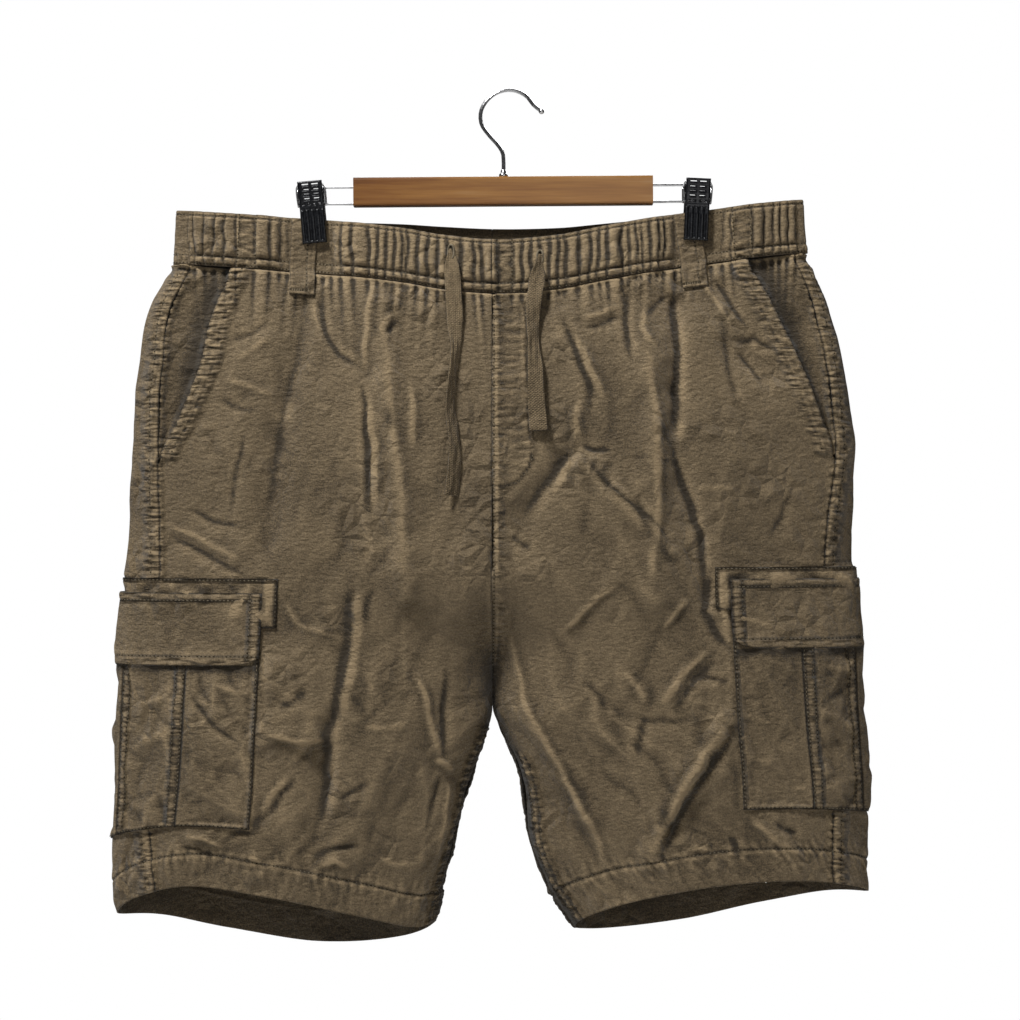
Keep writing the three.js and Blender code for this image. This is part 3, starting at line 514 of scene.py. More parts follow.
def arc_table(leg):
    heights = np.linspace(leg["top"], leg["hem"], 120)
    points = leg_base(leg, TURNS[None, :], heights[:, None])
    lengths = np.linalg.norm(np.diff(points, axis=1), axis=-1)
    return heights, np.concatenate([np.zeros((len(heights), 1)), np.cumsum(lengths, axis=1)], axis=1)


ARCS = {side: arc_table(leg) for side, leg in LEGS.items()}


def arc(leg, angle, height):
    """Distance round the leg from the centre front to an angle."""
    angle, height = np.broadcast_arrays(np.asarray(angle, float), np.asarray(height, float))
    heights, lengths = ARCS[leg["side"]]
    row = (heights[0] - height) / (heights[0] - heights[-1]) * (len(heights) - 1)
    column = angle / math.pi * (len(TURNS) - 1)
    r = np.clip(row.astype(int), 0, len(heights) - 2)
    c = np.clip(column.astype(int), 0, len(TURNS) - 2)
    top = mix(lengths[r, c], lengths[r, c + 1], column - c)
    low = mix(lengths[r + 1, c], lengths[r + 1, c + 1], column - c)
    return mix(top, low, row - r)


def angle_off(leg, line, heights, offset):
    """Angles at a distance round the leg from a named line."""
    angles = []
    for height in heights:
        row = arc(leg, TURNS, height)
        angles.append(np.interp(arc(leg, line_angle(leg, line, height), height) + offset, row, TURNS))
    return np.array(angles)


def spot_at(leg, x, z):
    """The angle and height on the front that lie at x and z."""
    height = np.array(z, float)
    for _ in range(6):
        outer = outer_fold(leg["side"], height)
        angle = angle_at(leg, np.abs(outer - x), height)
        height = np.clip(height + z - leg_base(leg, angle, height)[..., 2], leg["hem"], leg["top"])
    return angle, height


# Small wrinkles across a seam, by the way along it and across it
def pucker(along, across, seed, size=2.3):
    along, across = np.broadcast_arrays(along, across)
    return noise(np.stack([along, across * 0.32, np.full_like(along, seed)], axis=-1), size)


# Seams down each leg: line, offset from it, top, low, allowance to one side, puckers, stitch rows
def seams_of(leg):
    top, low = leg["top"], leg["hem"]
    rows = [
        ("seam", 0.0, top, low, 8.5, 0.75, (7.4,)),
        ("slash", 0.0, top, leg["slash_end"], -10.5, 0.85, (-1.4, -10.0)),
    ]
    if leg["side"] == "left":
        return rows + [
            ("centre", 2.0, -520, low, 9.0, 0.9, (3.0, 9.5)),
            ("last", 0.0, top, low, -8.0, 0.5, (-1.6, -7.0)),
        ]
    return rows + [
        ("centre", 0.0, top, CROTCH, 5.0, 0.45, (1.8,)),
        ("centre", 10.0, -540, low, 7.0, 0.9, (11.5, 17.5)),
        ("last", 0.0, -530, low, -8.0, 0.5, (-1.6, -7.0)),
    ]


SEAM_WAVE = 1.7


def seam_rise(leg, angle, height):
    """Relief of the seams, and how strongly the cloth is drawn up along them."""
    place = arc(leg, angle, height)
    rise, drawn = np.zeros_like(place), np.zeros_like(place)
    for seed, (line, offset, top, low, allowance, strength, rows) in enumerate(seams_of(leg)):
        across = place - arc(leg, line_angle(leg, line, height), height)
        away, width = (across - offset) * np.sign(allowance), abs(allowance)
        raised = 0.8 * smooth((away + 0.4) / 1.0) * smooth((width + 1.0 - away) / 1.8)
        grooves = -1.1 * bell((across - offset) / 1.2)
        grooves = grooves - 0.7 * sum(bell((across - row) / 1.1) for row in rows)
        window = smooth((away + 7) / 7) * smooth((width + 9 - away) / 8)
        wave = pucker(height, across, 11.0 * seed + 3)
        inside = smooth((top + 3 - height) / 4) * smooth((height - low + 3) / 6)
        rise += inside * (raised + grooves + SEAM_WAVE * strength * window * wave)
        drawn = np.maximum(drawn, inside * strength * window)
    return rise, drawn


def hem_rise(leg, angle, height):
    place = arc(leg, angle, height)
    up = height - leg["hem"]
    wave = pucker(place, up, 91.0, 3.8)
    near = bell((up - HEM_HEIGHT) / 9) + 0.35 * (up < HEM_HEIGHT)
    line = -0.8 * bell((up - HEM_HEIGHT) / 1.1)
    return 0.7 * smooth((HEM_HEIGHT - 0.4 - up) / 1.2) + line + 1.0 * near * wave


# Gathers of the waist: valleys as the photograph shows them in front, and evenly uneven behind
GATHER_PITCH = 9.4
GATHER_RISE = 4.8
SEAM_X = {"left": -260.0, "right": 235.0}
FRONT_VALLEYS = np.array([
    -260, -256, -248.7, -240.6, -231.5, -221.9, -206.4, -194.2, -186.1, -179.6, -172.5, -165, -158, -151.2,
    -144.7, -136.5, -126.8, -113.8, -106.5, -99.1, -92.6, -86.1, -82.1, -73.9, -65.8, -57.4, -49.6, -38.5,
    -27.6, -21.9, -8.9, 3.3, 11.4, 19, 26, 33.5, 40.7, 46.3, 56.9, 67.5, 74, 80.5, 91.9, 97.5, 104.1, 108.1,
    115.4, 121.9, 126.8, 136.6, 144, 151.5, 158.5, 165.8, 174.8, 182.1, 198.3, 208.9, 216.2, 221.9, 228.4,
    235])
_even = np.linspace(SEAM_X["left"], SEAM_X["right"], 54)
BACK_VALLEYS = _even + np.where(np.abs(_even + 12.5) < 245, RNG.uniform(-2.4, 2.4, len(_even)), 0)
VALLEYS = {"front": FRONT_VALLEYS, "back": BACK_VALLEYS}
GATHER_SIZE = {face: RNG.uniform(0.65, 1.0, len(rows)) for face, rows in VALLEYS.items()}
GATHER_LENGTH = {face: RNG.uniform(9, 34, len(rows)) for face, rows in VALLEYS.items()}
TACK_STRIPS = [(-8.9, 3.3), (-219.4, -205.2), (184.5, 197.6)]


def gathers(face, x):
    """Pillows between the valleys, and the number of each."""
    rows = VALLEYS[face]
    number = np.interp(x, rows, np.arange(len(rows)))
    cell = np.clip(np.floor(number).astype(int), 0, len(rows) - 2)
    width = np.diff(rows)[cell]
    size = GATHER_SIZE[face][cell] * np.clip(width / GATHER_PITCH, 0.4, 1.25) ** 0.7
    return np.abs(np.sin(math.pi * number)) ** 0.65 * size, cell


def pillows(face, x):
    return gathers(face, x)[0]


def strips(x):
    """1 on the stitched strips of the band, where the gathers are sewn flat."""
    return sum(smooth((x - a + 1) / 2) * smooth((b + 1 - x) / 2) for a, b in TACK_STRIPS)


def waist_rise(face, x, drop):
    """How the gathers run out below the waist seam, with small holes at the seam."""
    pillow, cell = gathers(face, x + 0.07 * drop * np.sin(x / 17.0))
    length = GATHER_LENGTH[face][cell]
    fade = np.exp(-(np.maximum(drop, 0) / length) ** 1.3)
    hole = (1 - pillow) * bell((drop - 4.5) / 5.0)
    tuck = 3.3 * smooth((0.9 - drop) / 1.6)
    return (length / 24 * 3.2 * pillow * fade - 2.2 * hole) * smooth(drop / 4.0) - tuck


def fly_rise(leg, x, z, height):
    if leg["side"] == "left":
        return 0.0
    line = line_rise(x, z, FLY, 1.3, 0.0, -1.2, tapered=False)
    edge = np.interp(-z, [-p[1] for p in FLY], [p[0] for p in FLY])
    inside = smooth((edge - x) / 2) * smooth((z + 325) / 4)
    return line + inside * (0.6 + 0.9 * pucker(height, x, 57.0, 5.2))


def covered(leg, place, height):
    """1 where the cargo pocket lies on the leg, so that the pocket doesn't take the leg's creases."""
    start = arc(leg, line_angle(leg, "edge", height), height) - 5
    end = arc(leg, line_angle(leg, "back_edge", height), height) + 5
    inside = smooth((place - start) / 6) * smooth((end - place) / 6)
    inside = 0.95 * inside * smooth((leg["patch_top"] + 4 - height) / 6)
    return inside * smooth((height - leg["pocket_low"] + 4) / 6)


# How deep the creases and folds are and how far they sway
CREASE_DEPTH = 1.6
FOLD_DEPTH = 1.25
SWAY = 1.8

# The crumples of a pocket's panel: rise, width, height, turn and shift
PANEL_CRUMPLES = [(3.2, 24.0, 30.0, 0.5, 0.3), (1.9, 12.0, 15.0, -0.4, 3.1)]


def crumples(rows, across, down, seed):
    """The sum of several sizes of facets."""
    return sum(rise * facets(across, down, wide, tall, turn, seed + shift)
               for rise, wide, tall, turn, shift in rows)


def leg_detail(leg, angle, height, base):
    """How far the fine form stands out of the base at each point."""
    angle, height = np.broadcast_arrays(angle, height)
    sway = np.stack([noise(base, 19.0, 2.2), noise(base, 19.0, 7.7)])
    x, z = base[..., 0] + SWAY * sway[0], base[..., 2] + SWAY * sway[1]
    front = np.cos(angle) >= 0
    drop = leg["top"] - height
    calm = smooth(drop / 22) * smooth((height - leg["hem"] + 4) / 16)
    rise = CREASE_DEPTH * by_face(front, crease_rise, x, z)
    rise = rise + FOLD_DEPTH * by_face(front, fold_line, x, z)
    rise = rise - by_face(front, fold_rise, base[..., 0], base[..., 2])
    place = arc(leg, angle, height)
    rows = [(2.6, 32.0, 52.0, leg["crumple_turn"], 0.0), (1.3, 17.0, 27.0, -0.6, 2.2)]
    crumple = crumples(rows, place, height, leg["crumple_seed"])
    rise = rise + crumple * (0.45 + 0.55 * smooth((drop - 60) / 260)) + 1.3 * noise(base, 52.0, 9.0)
    rise = rise * calm
    rise = rise + by_face(front, waist_rise, base[..., 0], drop)
    rise = rise + seam_rise(leg, angle, height)[0] + hem_rise(leg, angle, height)
    rise = rise + fly_rise(leg, base[..., 0], base[..., 2], height)
    meeting = smooth((CROTCH_TOP + 5 - height) / 10) * smooth((height - CROTCH + 15) / 15)
    rise = mix(rise, 0.25, meeting * bell(np.sin(angle) * 40))
    return rise * (1 - covered(leg, place, height))


def leg_surface(leg, angle, height):
    """Points, normals and relief of the finished cloth surface."""
    base = leg_base(leg, angle, height)
    normal = leg_normal(leg, angle, height)
    detail = leg_detail(leg, angle, height, base)
    return base + normal * detail[..., None], normal, detail


def hollows(rise, reach=2):
    """How far each spot of a grid stands above the mean round it."""
    padded = np.pad(rise, reach, mode="edge")
    for axis in (0, 1):
        total = np.cumsum(padded, axis=axis)
        start = np.insert(total, 0, 0, axis=axis)
        count = 2 * reach + 1
        upper = np.take(start, np.arange(count, start.shape[axis]), axis=axis)
        lower = np.take(start, np.arange(0, start.shape[axis] - count), axis=axis)
        padded = (upper - lower) / count
    return rise - padded


# Meshes
def show(name, data):
    """An object that shows a mesh, light or camera."""
    made = bpy.data.objects.new(name, data)
    bpy.context.scene.collection.objects.link(made)
    return made


def make_mesh(name, points, faces, material, smooth_shading=True, **values):
    mesh = bpy.data.meshes.new(name)
    mesh.from_pydata((np.asarray(points) * MM).tolist(), [], faces)
    mesh.materials.append(material)
    for key, value in values.items():
        mesh.attributes.new(key, "FLOAT", "POINT").data.foreach_set("value", np.asarray(value, np.float32))
    mesh.update()
    if smooth_shading:
        mesh.polygons.foreach_set("use_smooth", [True] * len(mesh.polygons))
    return show(name, mesh)


def add_piece(name, points, faces, material, slot, nodes=(), **values):
    piece = make_mesh(name, points, faces, material, **values)
    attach(piece, "root")
    if nodes:
        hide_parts(*nodes)
    return piece


def wall_faces(rows, columns, flip=False, kept=None):
    """Faces of a closed wall between two grids of points, with holes where a cell isn't kept."""
    grid = np.arange(rows * columns).reshape(rows, columns)
    under = grid + rows * columns
    kept = np.ones((rows - 1, columns - 1), bool) if kept is None else kept
    full = np.zeros((rows + 1, columns + 1), bool)
    full[1:-1, 1:-1] = kept

    def quads(a, b, c, d, where):
        return np.stack([a[where], b[where], c[where], d[where]], axis=-1)

    parts = [quads(grid[:-1, :-1], grid[1:, :-1], grid[1:, 1:], grid[:-1, 1:], kept),
             quads(under[:-1, :-1], under[:-1, 1:], under[1:, 1:], under[1:, :-1], kept)]
    left = full[1:-1, 1:] & ~full[1:-1, :-1]
    right = full[1:-1, :-1] & ~full[1:-1, 1:]
    top = full[1:, 1:-1] & ~full[:-1, 1:-1]
    low = full[:-1, 1:-1] & ~full[1:, 1:-1]
    parts += [quads(grid[:-1, :], under[:-1, :], under[1:, :], grid[1:, :], left),
              quads(grid[:-1, :], grid[1:, :], under[1:, :], under[:-1, :], right),
              quads(grid[:, :-1], grid[:, 1:], under[:, 1:], under[:, :-1], top),
              quads(grid[:, :-1], under[:, :-1], under[:, 1:], grid[:, 1:], low)]
    faces = np.concatenate(parts)
    return (faces[:, ::-1] if flip else faces).tolist()


# What the cloth's values are on the hidden side of a wall: painted shade darkens its inner faces
HIDDEN = {"wear": -0.5, "drawn": 0.0}


def wall_piece(name, outer, inner, material, slot, nodes=(), flip=False, kept=None, **values):
    rows, columns = outer.shape[:2]
    points = np.concatenate([outer.reshape(-1, 3), inner.reshape(-1, 3)])
    values = {key: np.concatenate([value.ravel(), np.full(rows * columns, HIDDEN[key])])
              for key, value in values.items()}
    return add_piece(name, points, wall_faces(rows, columns, flip, kept), material, slot, nodes, **values)


def tube_piece(name, path, radius, material, slot, nodes=(), sides=10):
    """A round tube along a path, closed at both ends, of one radius or a radius at each point."""
    path = np.asarray(path, float)
    tangent = unit(np.gradient(path, axis=0))
    hint = np.array([0.0, 1.0, 0.0]) if abs(tangent[:, 1]).max() < 0.9 else np.array([0.0, 0.0, 1.0])
    side = unit(np.cross(tangent, hint))
    up = np.cross(side, tangent)
    turn = np.linspace(0, 2 * math.pi, sides, endpoint=False)
    ring = side[:, None] * np.cos(turn)[None, :, None] + up[:, None] * np.sin(turn)[None, :, None]
    points = (path[:, None] + ring * np.broadcast_to(radius, len(path))[:, None, None]).reshape(-1, 3)
    grid = np.arange(len(path) * sides).reshape(len(path), sides)
    nxt = np.roll(grid, -1, axis=1)
    faces = np.stack([grid[:-1], nxt[:-1], nxt[1:], grid[1:]], axis=-1).reshape(-1, 4).tolist()
    faces += [grid[0, ::-1].tolist(), grid[-1].tolist()]
    return add_piece(name, points, faces, material, slot, nodes)


# Stitches: each a low lozenge that dips into the cloth at both ends, and a dark pit of painted shade where it
# goes in
STITCH = {"pitch": 3.4, "length": 2.2, "width": 0.9, "high": 0.5}
STITCHES = {}
PIT = 1.5
PITS = []


def sew(group, points, normal, pitch=STITCH["pitch"]):
    """Puts stitches along a path of points on a surface."""
    gaps = np.linalg.norm(np.diff(points, axis=0), axis=1)
    at = np.concatenate([[0], np.cumsum(gaps)])
    starts = np.arange(0.4, at[-1] - STITCH["length"], pitch)

    def along(values, places):
        return np.stack([np.interp(places, at, values[:, k]) for k in range(3)], axis=-1)

    a, b = along(points, starts), along(points, starts + STITCH["length"] * pitch / STITCH["pitch"])
    up = unit(along(normal, starts + STITCH["length"] / 2))
    middle = (a + b) / 2
    side = unit(np.cross(b - a, up)) * STITCH["width"] / 2
    high = STITCH["high"]
    spots = np.stack([a - up * 0.1, b - up * 0.1, middle + side + up * high * 0.3,
                      middle - side + up * high * 0.3, middle + up * high], axis=1)
    STITCHES.setdefault(group, []).append(spots.reshape(-1, 3))
    ahead = unit(b - a) * PIT / 2
    wide = unit(np.cross(b - a, up)) * PIT / 2
    middle = a - ahead + up * 0.16
    corners = [middle - ahead, middle - wide, middle + ahead, middle + wide]
    PITS.append(np.stack(corners, axis=1).reshape(-1, 3))


def build_stitches():
    for group, parts in STITCHES.items():
        points = np.concatenate(parts)
        first = np.arange(0, len(points), 5)[:, None, None]
        faces = (first + np.array([[0, 2, 4], [0, 4, 3], [1, 4, 2], [1, 3, 4]])).reshape(-1, 3)
        add_piece(f"stitches_{group}", points, faces.tolist(), THREAD_LOOK, "cloth")
    # Dark quads of painted shade at the needle holes
    points = np.concatenate(PITS)
    faces = np.arange(len(points)).reshape(-1, 4)
    add_piece("stitch_pits", points, faces.tolist(), PIT_LOOK, "cloth")


# How much painted shade darkens the cloth in the recess at the closed seam below the crotch
CROTCH_SHADE = 1.6


def cloth_piece(leg, part, angles, heights, lift, thick, relief=None, shadow=0.0, drawn=None):
    """A sheet of cloth on the leg's surface, lifted off it, with a relief of its own."""
    surface, normal, detail = leg_surface(leg, angles, heights)
    own = np.broadcast_to(0.0 if relief is None else relief(angles, heights), detail.shape)
    outer = surface + normal * (lift + own)[..., None]
    inner = surface + normal * (lift + own - thick)[..., None]
    # Painted shade: the colour darkens in the crotch recess, in the hollows of the relief and by the given
    # shadow
    recess = closure(heights) * bell(np.sin(angles) * 8) * smooth((CROTCH + 75 - heights) / 60)
    wear = hollows(own + detail) - CROTCH_SHADE * recess + shadow
    drawn = seam_rise(leg, angles, heights)[1] if drawn is None else drawn
    node = f"{part}_{leg['side']}"
    piece = wall_piece(f"shorts_{node}", outer, inner, CLOTH_LOOK, "cloth", (node,), flip=leg["out"] < 0,
                       wear=wear, drawn=drawn)


def sew_leg(leg, angles, heights, lift=0.0, relief=None):
    surface, normal, _ = leg_surface(leg, angles, heights)
    own = relief(angles, heights) if relief is not None else 0.0
    sew(leg["side"], surface + normal * np.broadcast_to(lift + own, len(surface))[:, None], normal)


def spread(start, end, fine, coarse, margin):
    """Places from start to end, fine within a margin of both ends and coarse between."""
    count = max(4, int(round(margin / fine)))
    middle = max(2, int(round((end - start - 2 * margin) / coarse)))
    return np.concatenate([
        np.linspace(start, start + margin, count, endpoint=False),
        np.linspace(start + margin, end - margin, middle, endpoint=False),
        np.linspace(end - margin, end, count + 1)])


def shares_of(width, fine, coarse, margin):
    """Shares of a width, fine near both ends."""
    return spread(0.0, width, fine, coarse, margin)[None, :] / width


# Materials: each is a small tree of nodes on the object's own coordinates
def new_material(name, roughness, metallic=0.0):
    material = bpy.data.materials.new(name)
    material.use_nodes = True
    tree = material.node_tree
    shader = tree.nodes["Principled BSDF"]
    shader.inputs["Roughness"].default_value = roughness
    shader.inputs["Metallic"].default_value = metallic
    place = tree.nodes.new("ShaderNodeTexCoord").outputs["Object"]
    return material, tree, shader, place


def add_node(tree, kind, inputs):
    """A node with each of the given inputs set to a value or linked to an output."""
    made = tree.nodes.new(f"ShaderNode{kind}")
    for name, value in inputs.items():
        if isinstance(value, bpy.types.NodeSocket):
            tree.links.new(value, made.inputs[name])
        else:
            made.inputs[name].default_value = value
    return made


def value_node(tree, name):
    """A value that the mesh holds at each point."""
    made = add_node(tree, "Attribute", {})
    made.attribute_name = name
    return made.outputs["Fac"]


def noise_node(tree, place, size, detail=3.0, stretch=None):
    """Noise with features of a size in mm, stretched by a factor on each axis."""
    if stretch is not None:
        scale = add_node(tree, "VectorMath", {0: place, 1: stretch})
        scale.operation = "MULTIPLY"
        place = scale.outputs["Vector"]
    made = add_node(tree, "TexNoise", {"Vector": place, "Scale": 1000.0 / size, "Detail": detail})
    return made.outputs["Fac"]


def wave_node(tree, place, axis, pitch):
    """Threads a pitch in mm apart along an axis: the texture repeats each pi / 10 of a metre at scale 1."""
    inputs = {"Vector": place, "Scale": math.pi / 10 / (pitch * MM), "Distortion": 0.6, "Detail": 1.0}
    made = add_node(tree, "TexWave", inputs)
    made.bands_direction = axis
    return made.outputs["Fac"]


def math_node(tree, operation, *values):
    made = add_node(tree, "Math", dict(enumerate(values)))
    made.operation = operation
    return made.outputs[0]


def sum_node(tree, *terms):
    """A weighted sum: each term is an output and its weight."""
    total = 0.0
    for output, weight in terms:
        total = math_node(tree, "MULTIPLY_ADD", output, weight, total)
    return total


def facet_node(tree, place, size):
    """Cells of a size in mm, each like a low roof: flat slopes that meet in straight creases."""
    made = add_node(tree, "TexVoronoi", {"Vector": place, "Scale": 1000.0 / size})
    made.feature = "DISTANCE_TO_EDGE"
    return made.outputs["Distance"]


def span_node(tree, value, low, high):
    """0 up to a low value and 1 from a high one."""
    made = add_node(tree, "MapRange", {"Value": value, "From Min": low, "From Max": high})
    return made.outputs["Result"]


def ramp_node(tree, value, low, high, *colours):
    """Colours spread evenly over a value's span."""
    ramp = add_node(tree, "ValToRGB", {"Fac": span_node(tree, value, low, high)})
    elements = ramp.color_ramp.elements
    while len(elements) < len(colours):
        elements.new(0.5)
    for i, colour in enumerate(colours):
        elements[i].position = i / (len(colours) - 1)
        elements[i].color = (*colour, 1)
    return ramp.outputs["Color"]


def cover(tree, shader, colour, height, distance):
    """Gives a shader its colour, and a bump of a distance in mm."""
    tree.links.new(colour, shader.inputs["Base Color"])
    bump = add_node(tree, "Bump", {"Height": height, "Distance": distance * MM})
    tree.links.new(bump.outputs["Normal"], shader.inputs["Normal"])


def shade(colour, factor):
    return tuple(v * factor for v in colour)


def cloth_material(name, colour, worn, weave=0.62, crumpled=1.0):
    """Washed cotton: mottled fade, paler on worn ridges, painted shade in seams and hollows, and a fine weave.
    """
    material, tree, shader, place = new_material(name, 0.9)
    shader.inputs["Sheen Weight"].default_value = 0.12
    shader.inputs["Sheen Roughness"].default_value = 0.6
    shader.inputs["Specular IOR Level"].default_value = 0.25
    warp = wave_node(tree, place, "X", weave)
    weft = wave_node(tree, place, "Z", weave)
    fade = noise_node(tree, place, 70.0, 1.0)
    blotch = noise_node(tree, place, 9.0, 3.0)
    across_seam = noise_node(tree, place, 4.2, 1.0, (0.22, 0.22, 1.0))
    pleats = math_node(tree, "MULTIPLY", across_seam, value_node(tree, "drawn"))
    patches = span_node(tree, noise_node(tree, place, 45.0, 1.0), 0.47, 0.66)
    crumple = math_node(tree, "MULTIPLY", facet_node(tree, place, 16.0), patches)
    wrinkle = noise_node(tree, place, 4.0, 2.0, (0.8, 0.8, 1.4))
    slub = noise_node(tree, place, 2.4, 2.0, (0.5, 1.0, 1.0))
    fleck = noise_node(tree, place, 1.1, 1.0)
    # The value the mesh holds darkens the colour as painted shade in hollows, seams, recesses and under flaps,
    # and pales ridges as wear
    tone = sum_node(tree, (fade, 1.0), (blotch, 0.1), (slub, 0.35), (fleck, 1.8), (warp, 0.2), (weft, 0.2),
                    (value_node(tree, "wear"), 1.35))
    colours = (shade(colour, 0.28), shade(colour, 0.78), shade(worn, 1.05), shade(worn, 1.6))
    grain = sum_node(tree, (warp, 0.25), (weft, 0.25), (slub, 0.2), (fleck, 0.7), (crumple, 20.0 * crumpled),
                     (wrinkle, 4.6 * crumpled), (pleats, 22.0))
    cover(tree, shader, ramp_node(tree, tone, 0.875, 2.775, *colours), grain, 0.7)
    return material


KHAKI = (0.15, 0.106, 0.055)
KHAKI_WORN = (0.202, 0.147, 0.081)
CLOTH_LOOK = cloth_material("cloth", KHAKI, KHAKI_WORN)
TAPE_LOOK = cloth_material("tape", shade(KHAKI, 0.85), shade(KHAKI_WORN, 0.95), weave=1.5, crumpled=0.2)


def thread_material():
    material, tree, shader, place = new_material("thread", 0.7)
    shader.inputs["Sheen Weight"].default_value = 0.2
    tone = noise_node(tree, place, 12.0, 2.0)
    colour = ramp_node(tree, tone, 0.3, 0.7, (0.10, 0.078, 0.045), (0.2, 0.16, 0.095))
    cover(tree, shader, colour, noise_node(tree, place, 0.6, 1.0), 0.1)
    return material


def wood_material():
    """Varnished wood with the grain along the bar, and a painted glare that pales it towards the bar's right
    end.
    """
    material, tree, shader, place = new_material("wood", 0.38)
    shader.inputs["Coat Weight"].default_value = 0.2
    shader.inputs["Coat Roughness"].default_value = 0.2
    rings = noise_node(tree, place, 16.0, 5.0, (0.09, 1.0, 1.6))
    fibre = noise_node(tree, place, 2.2, 3.0, (0.05, 1.0, 1.0))
    along = noise_node(tree, place, 160.0, 1.0)
    # The tone rises along X: a painted glare, paler and less orange towards the right end
    split = add_node(tree, "SeparateXYZ", {0: place})
    tone = sum_node(tree, (rings, 0.7), (fibre, 0.4), (along, 0.4), (split.outputs["X"], 1.6))
    colours = ((0.055, 0.016, 0.002), (0.15, 0.052, 0.006), (0.26, 0.115, 0.022), (0.34, 0.21, 0.1))
    cover(tree, shader, ramp_node(tree, tone, 0.4, 1.2, *colours), fibre, 0.12)
    return material


def metal_material():
    material, tree, shader, place = new_material("steel", 0.2, 1.0)
    streak = noise_node(tree, place, 4.0, 3.0)
    colour = ramp_node(tree, streak, 0.3, 0.7, (0.5, 0.5, 0.51), (0.72, 0.72, 0.73))
    cover(tree, shader, colour, noise_node(tree, place, 1.5, 2.0), 0.03)
    return material


def black_material():
    """Black lacquered metal, a little scuffed."""
    material, tree, shader, place = new_material("black", 0.24)
    shader.inputs["Specular IOR Level"].default_value = 0.35
    scuff = noise_node(tree, place, 2.5, 4.0)
    colour = ramp_node(tree, scuff, 0.35, 0.75, (0.003, 0.003, 0.004), (0.012, 0.013, 0.015))
    cover(tree, shader, colour, noise_node(tree, place, 0.8, 2.0), 0.05)
    return material


def dark_material(name, low, high):
    """The shaded bottom of a hole in cloth."""
    material, tree, shader, place = new_material(name, 0.95)
    shader.inputs["Specular IOR Level"].default_value = 0.1
    fleck = noise_node(tree, place, 1.2, 2.0)
    cover(tree, shader, ramp_node(tree, fleck, 0.3, 0.7, low, high), fleck, 0.2)
    return material


THREAD_LOOK = thread_material()
WOOD_LOOK = wood_material()
STEEL_LOOK = metal_material()
BLACK_LOOK = black_material()
HOLE_LOOK = dark_material("eyelet_hole", (0.012, 0.01, 0.007), (0.03, 0.024, 0.016))
PIT_LOOK = dark_material("needle_hole", (0.022, 0.016, 0.009), (0.05, 0.037, 0.021))


# Leg panels
def build_legs():
    for leg in LEGS.values():
        heights = -spread(-leg["top"] - TUCK, -leg["hem"], 1.3, 1.95, 30)[:, None]
        slash, seam = line_angle(leg, "slash", heights), line_angle(leg, "seam", heights)
        edge = mix(slash, seam, smooth((leg["slash_end"] - heights) / 3.0))
        share = shares_of(270.0, 1.6, 2.4, 24)
        gape = clamp((leg["top"] - heights) / (leg["top"] - leg["slash_end"]))
        lift = np.sin(math.pi * gape) * (leg["gape"] + 1.5) * (heights > leg["slash_end"]) * share ** 9
        cloth_piece(leg, "front", mix(0.0, edge - ANGLE_GAP, share), heights, lift, CLOTH)
        share = shares_of(330.0, 1.7, 3.3, 24)
        cloth_piece(leg, "back", mix(seam + ANGLE_GAP, math.pi, share), heights, 0.0, CLOTH)
        build_facing(leg)
        build_cargo(leg)
        sew_seams(leg)


def sew_seams(leg):
    for line, _, top, low, _, _, rows in seams_of(leg):
        heights = np.linspace(top - 1.5, low + 2, 260)
        for row in rows:
            sew_leg(leg, angle_off(leg, line, heights, row), heights)
    turns = np.linspace(0.02, math.pi - 0.02, 500)
    sew_leg(leg, turns, np.full_like(turns, leg["hem"] + HEM_HEIGHT))
    if leg["side"] == "right":
        path = through([(x, z, 0.0) for x, z in FLY], 120)
        angles, heights = spot_at(leg, path[:, 0], path[:, 1])
        sew_leg(leg, angles, heights)


def build_facing(leg):
    """The strip of cloth inside the slash pocket, deeper towards the pocket's edge, with painted shade that
    darkens it most there.
    """
    heights = np.linspace(leg["top"] + TUCK, leg["slash_end"], 92)[:, None]
    start = angle_at(leg, reach_of(leg, "slash", heights) + 8, heights)
    share = np.linspace(0, 1, 30)[None, :]
    angles = mix(start, line_angle(leg, "seam", heights) - ANGLE_GAP, share)

    def relief(angle, height):
        place, height = np.broadcast_arrays(arc(leg, angle, height), height)
        gone = (angle - start) / (line_angle(leg, "seam", height) - start)
        return 1.4 * facets(place, height, 14.0, 22.0, 0.5, 5.5) - 1.2 * smooth((0.75 - gone) / 0.5)

    lift = -4.2 + 3.7 * smooth((share - 0.62) / 0.36)
    # Painted shade over the whole facing, darkest by the slash edge
    shadow = -0.25 - 0.75 * (1 - smooth((share - 0.2) / 0.5))
    cloth_piece(leg, "facing", angles, heights, lift, CLOTH, relief, shadow)


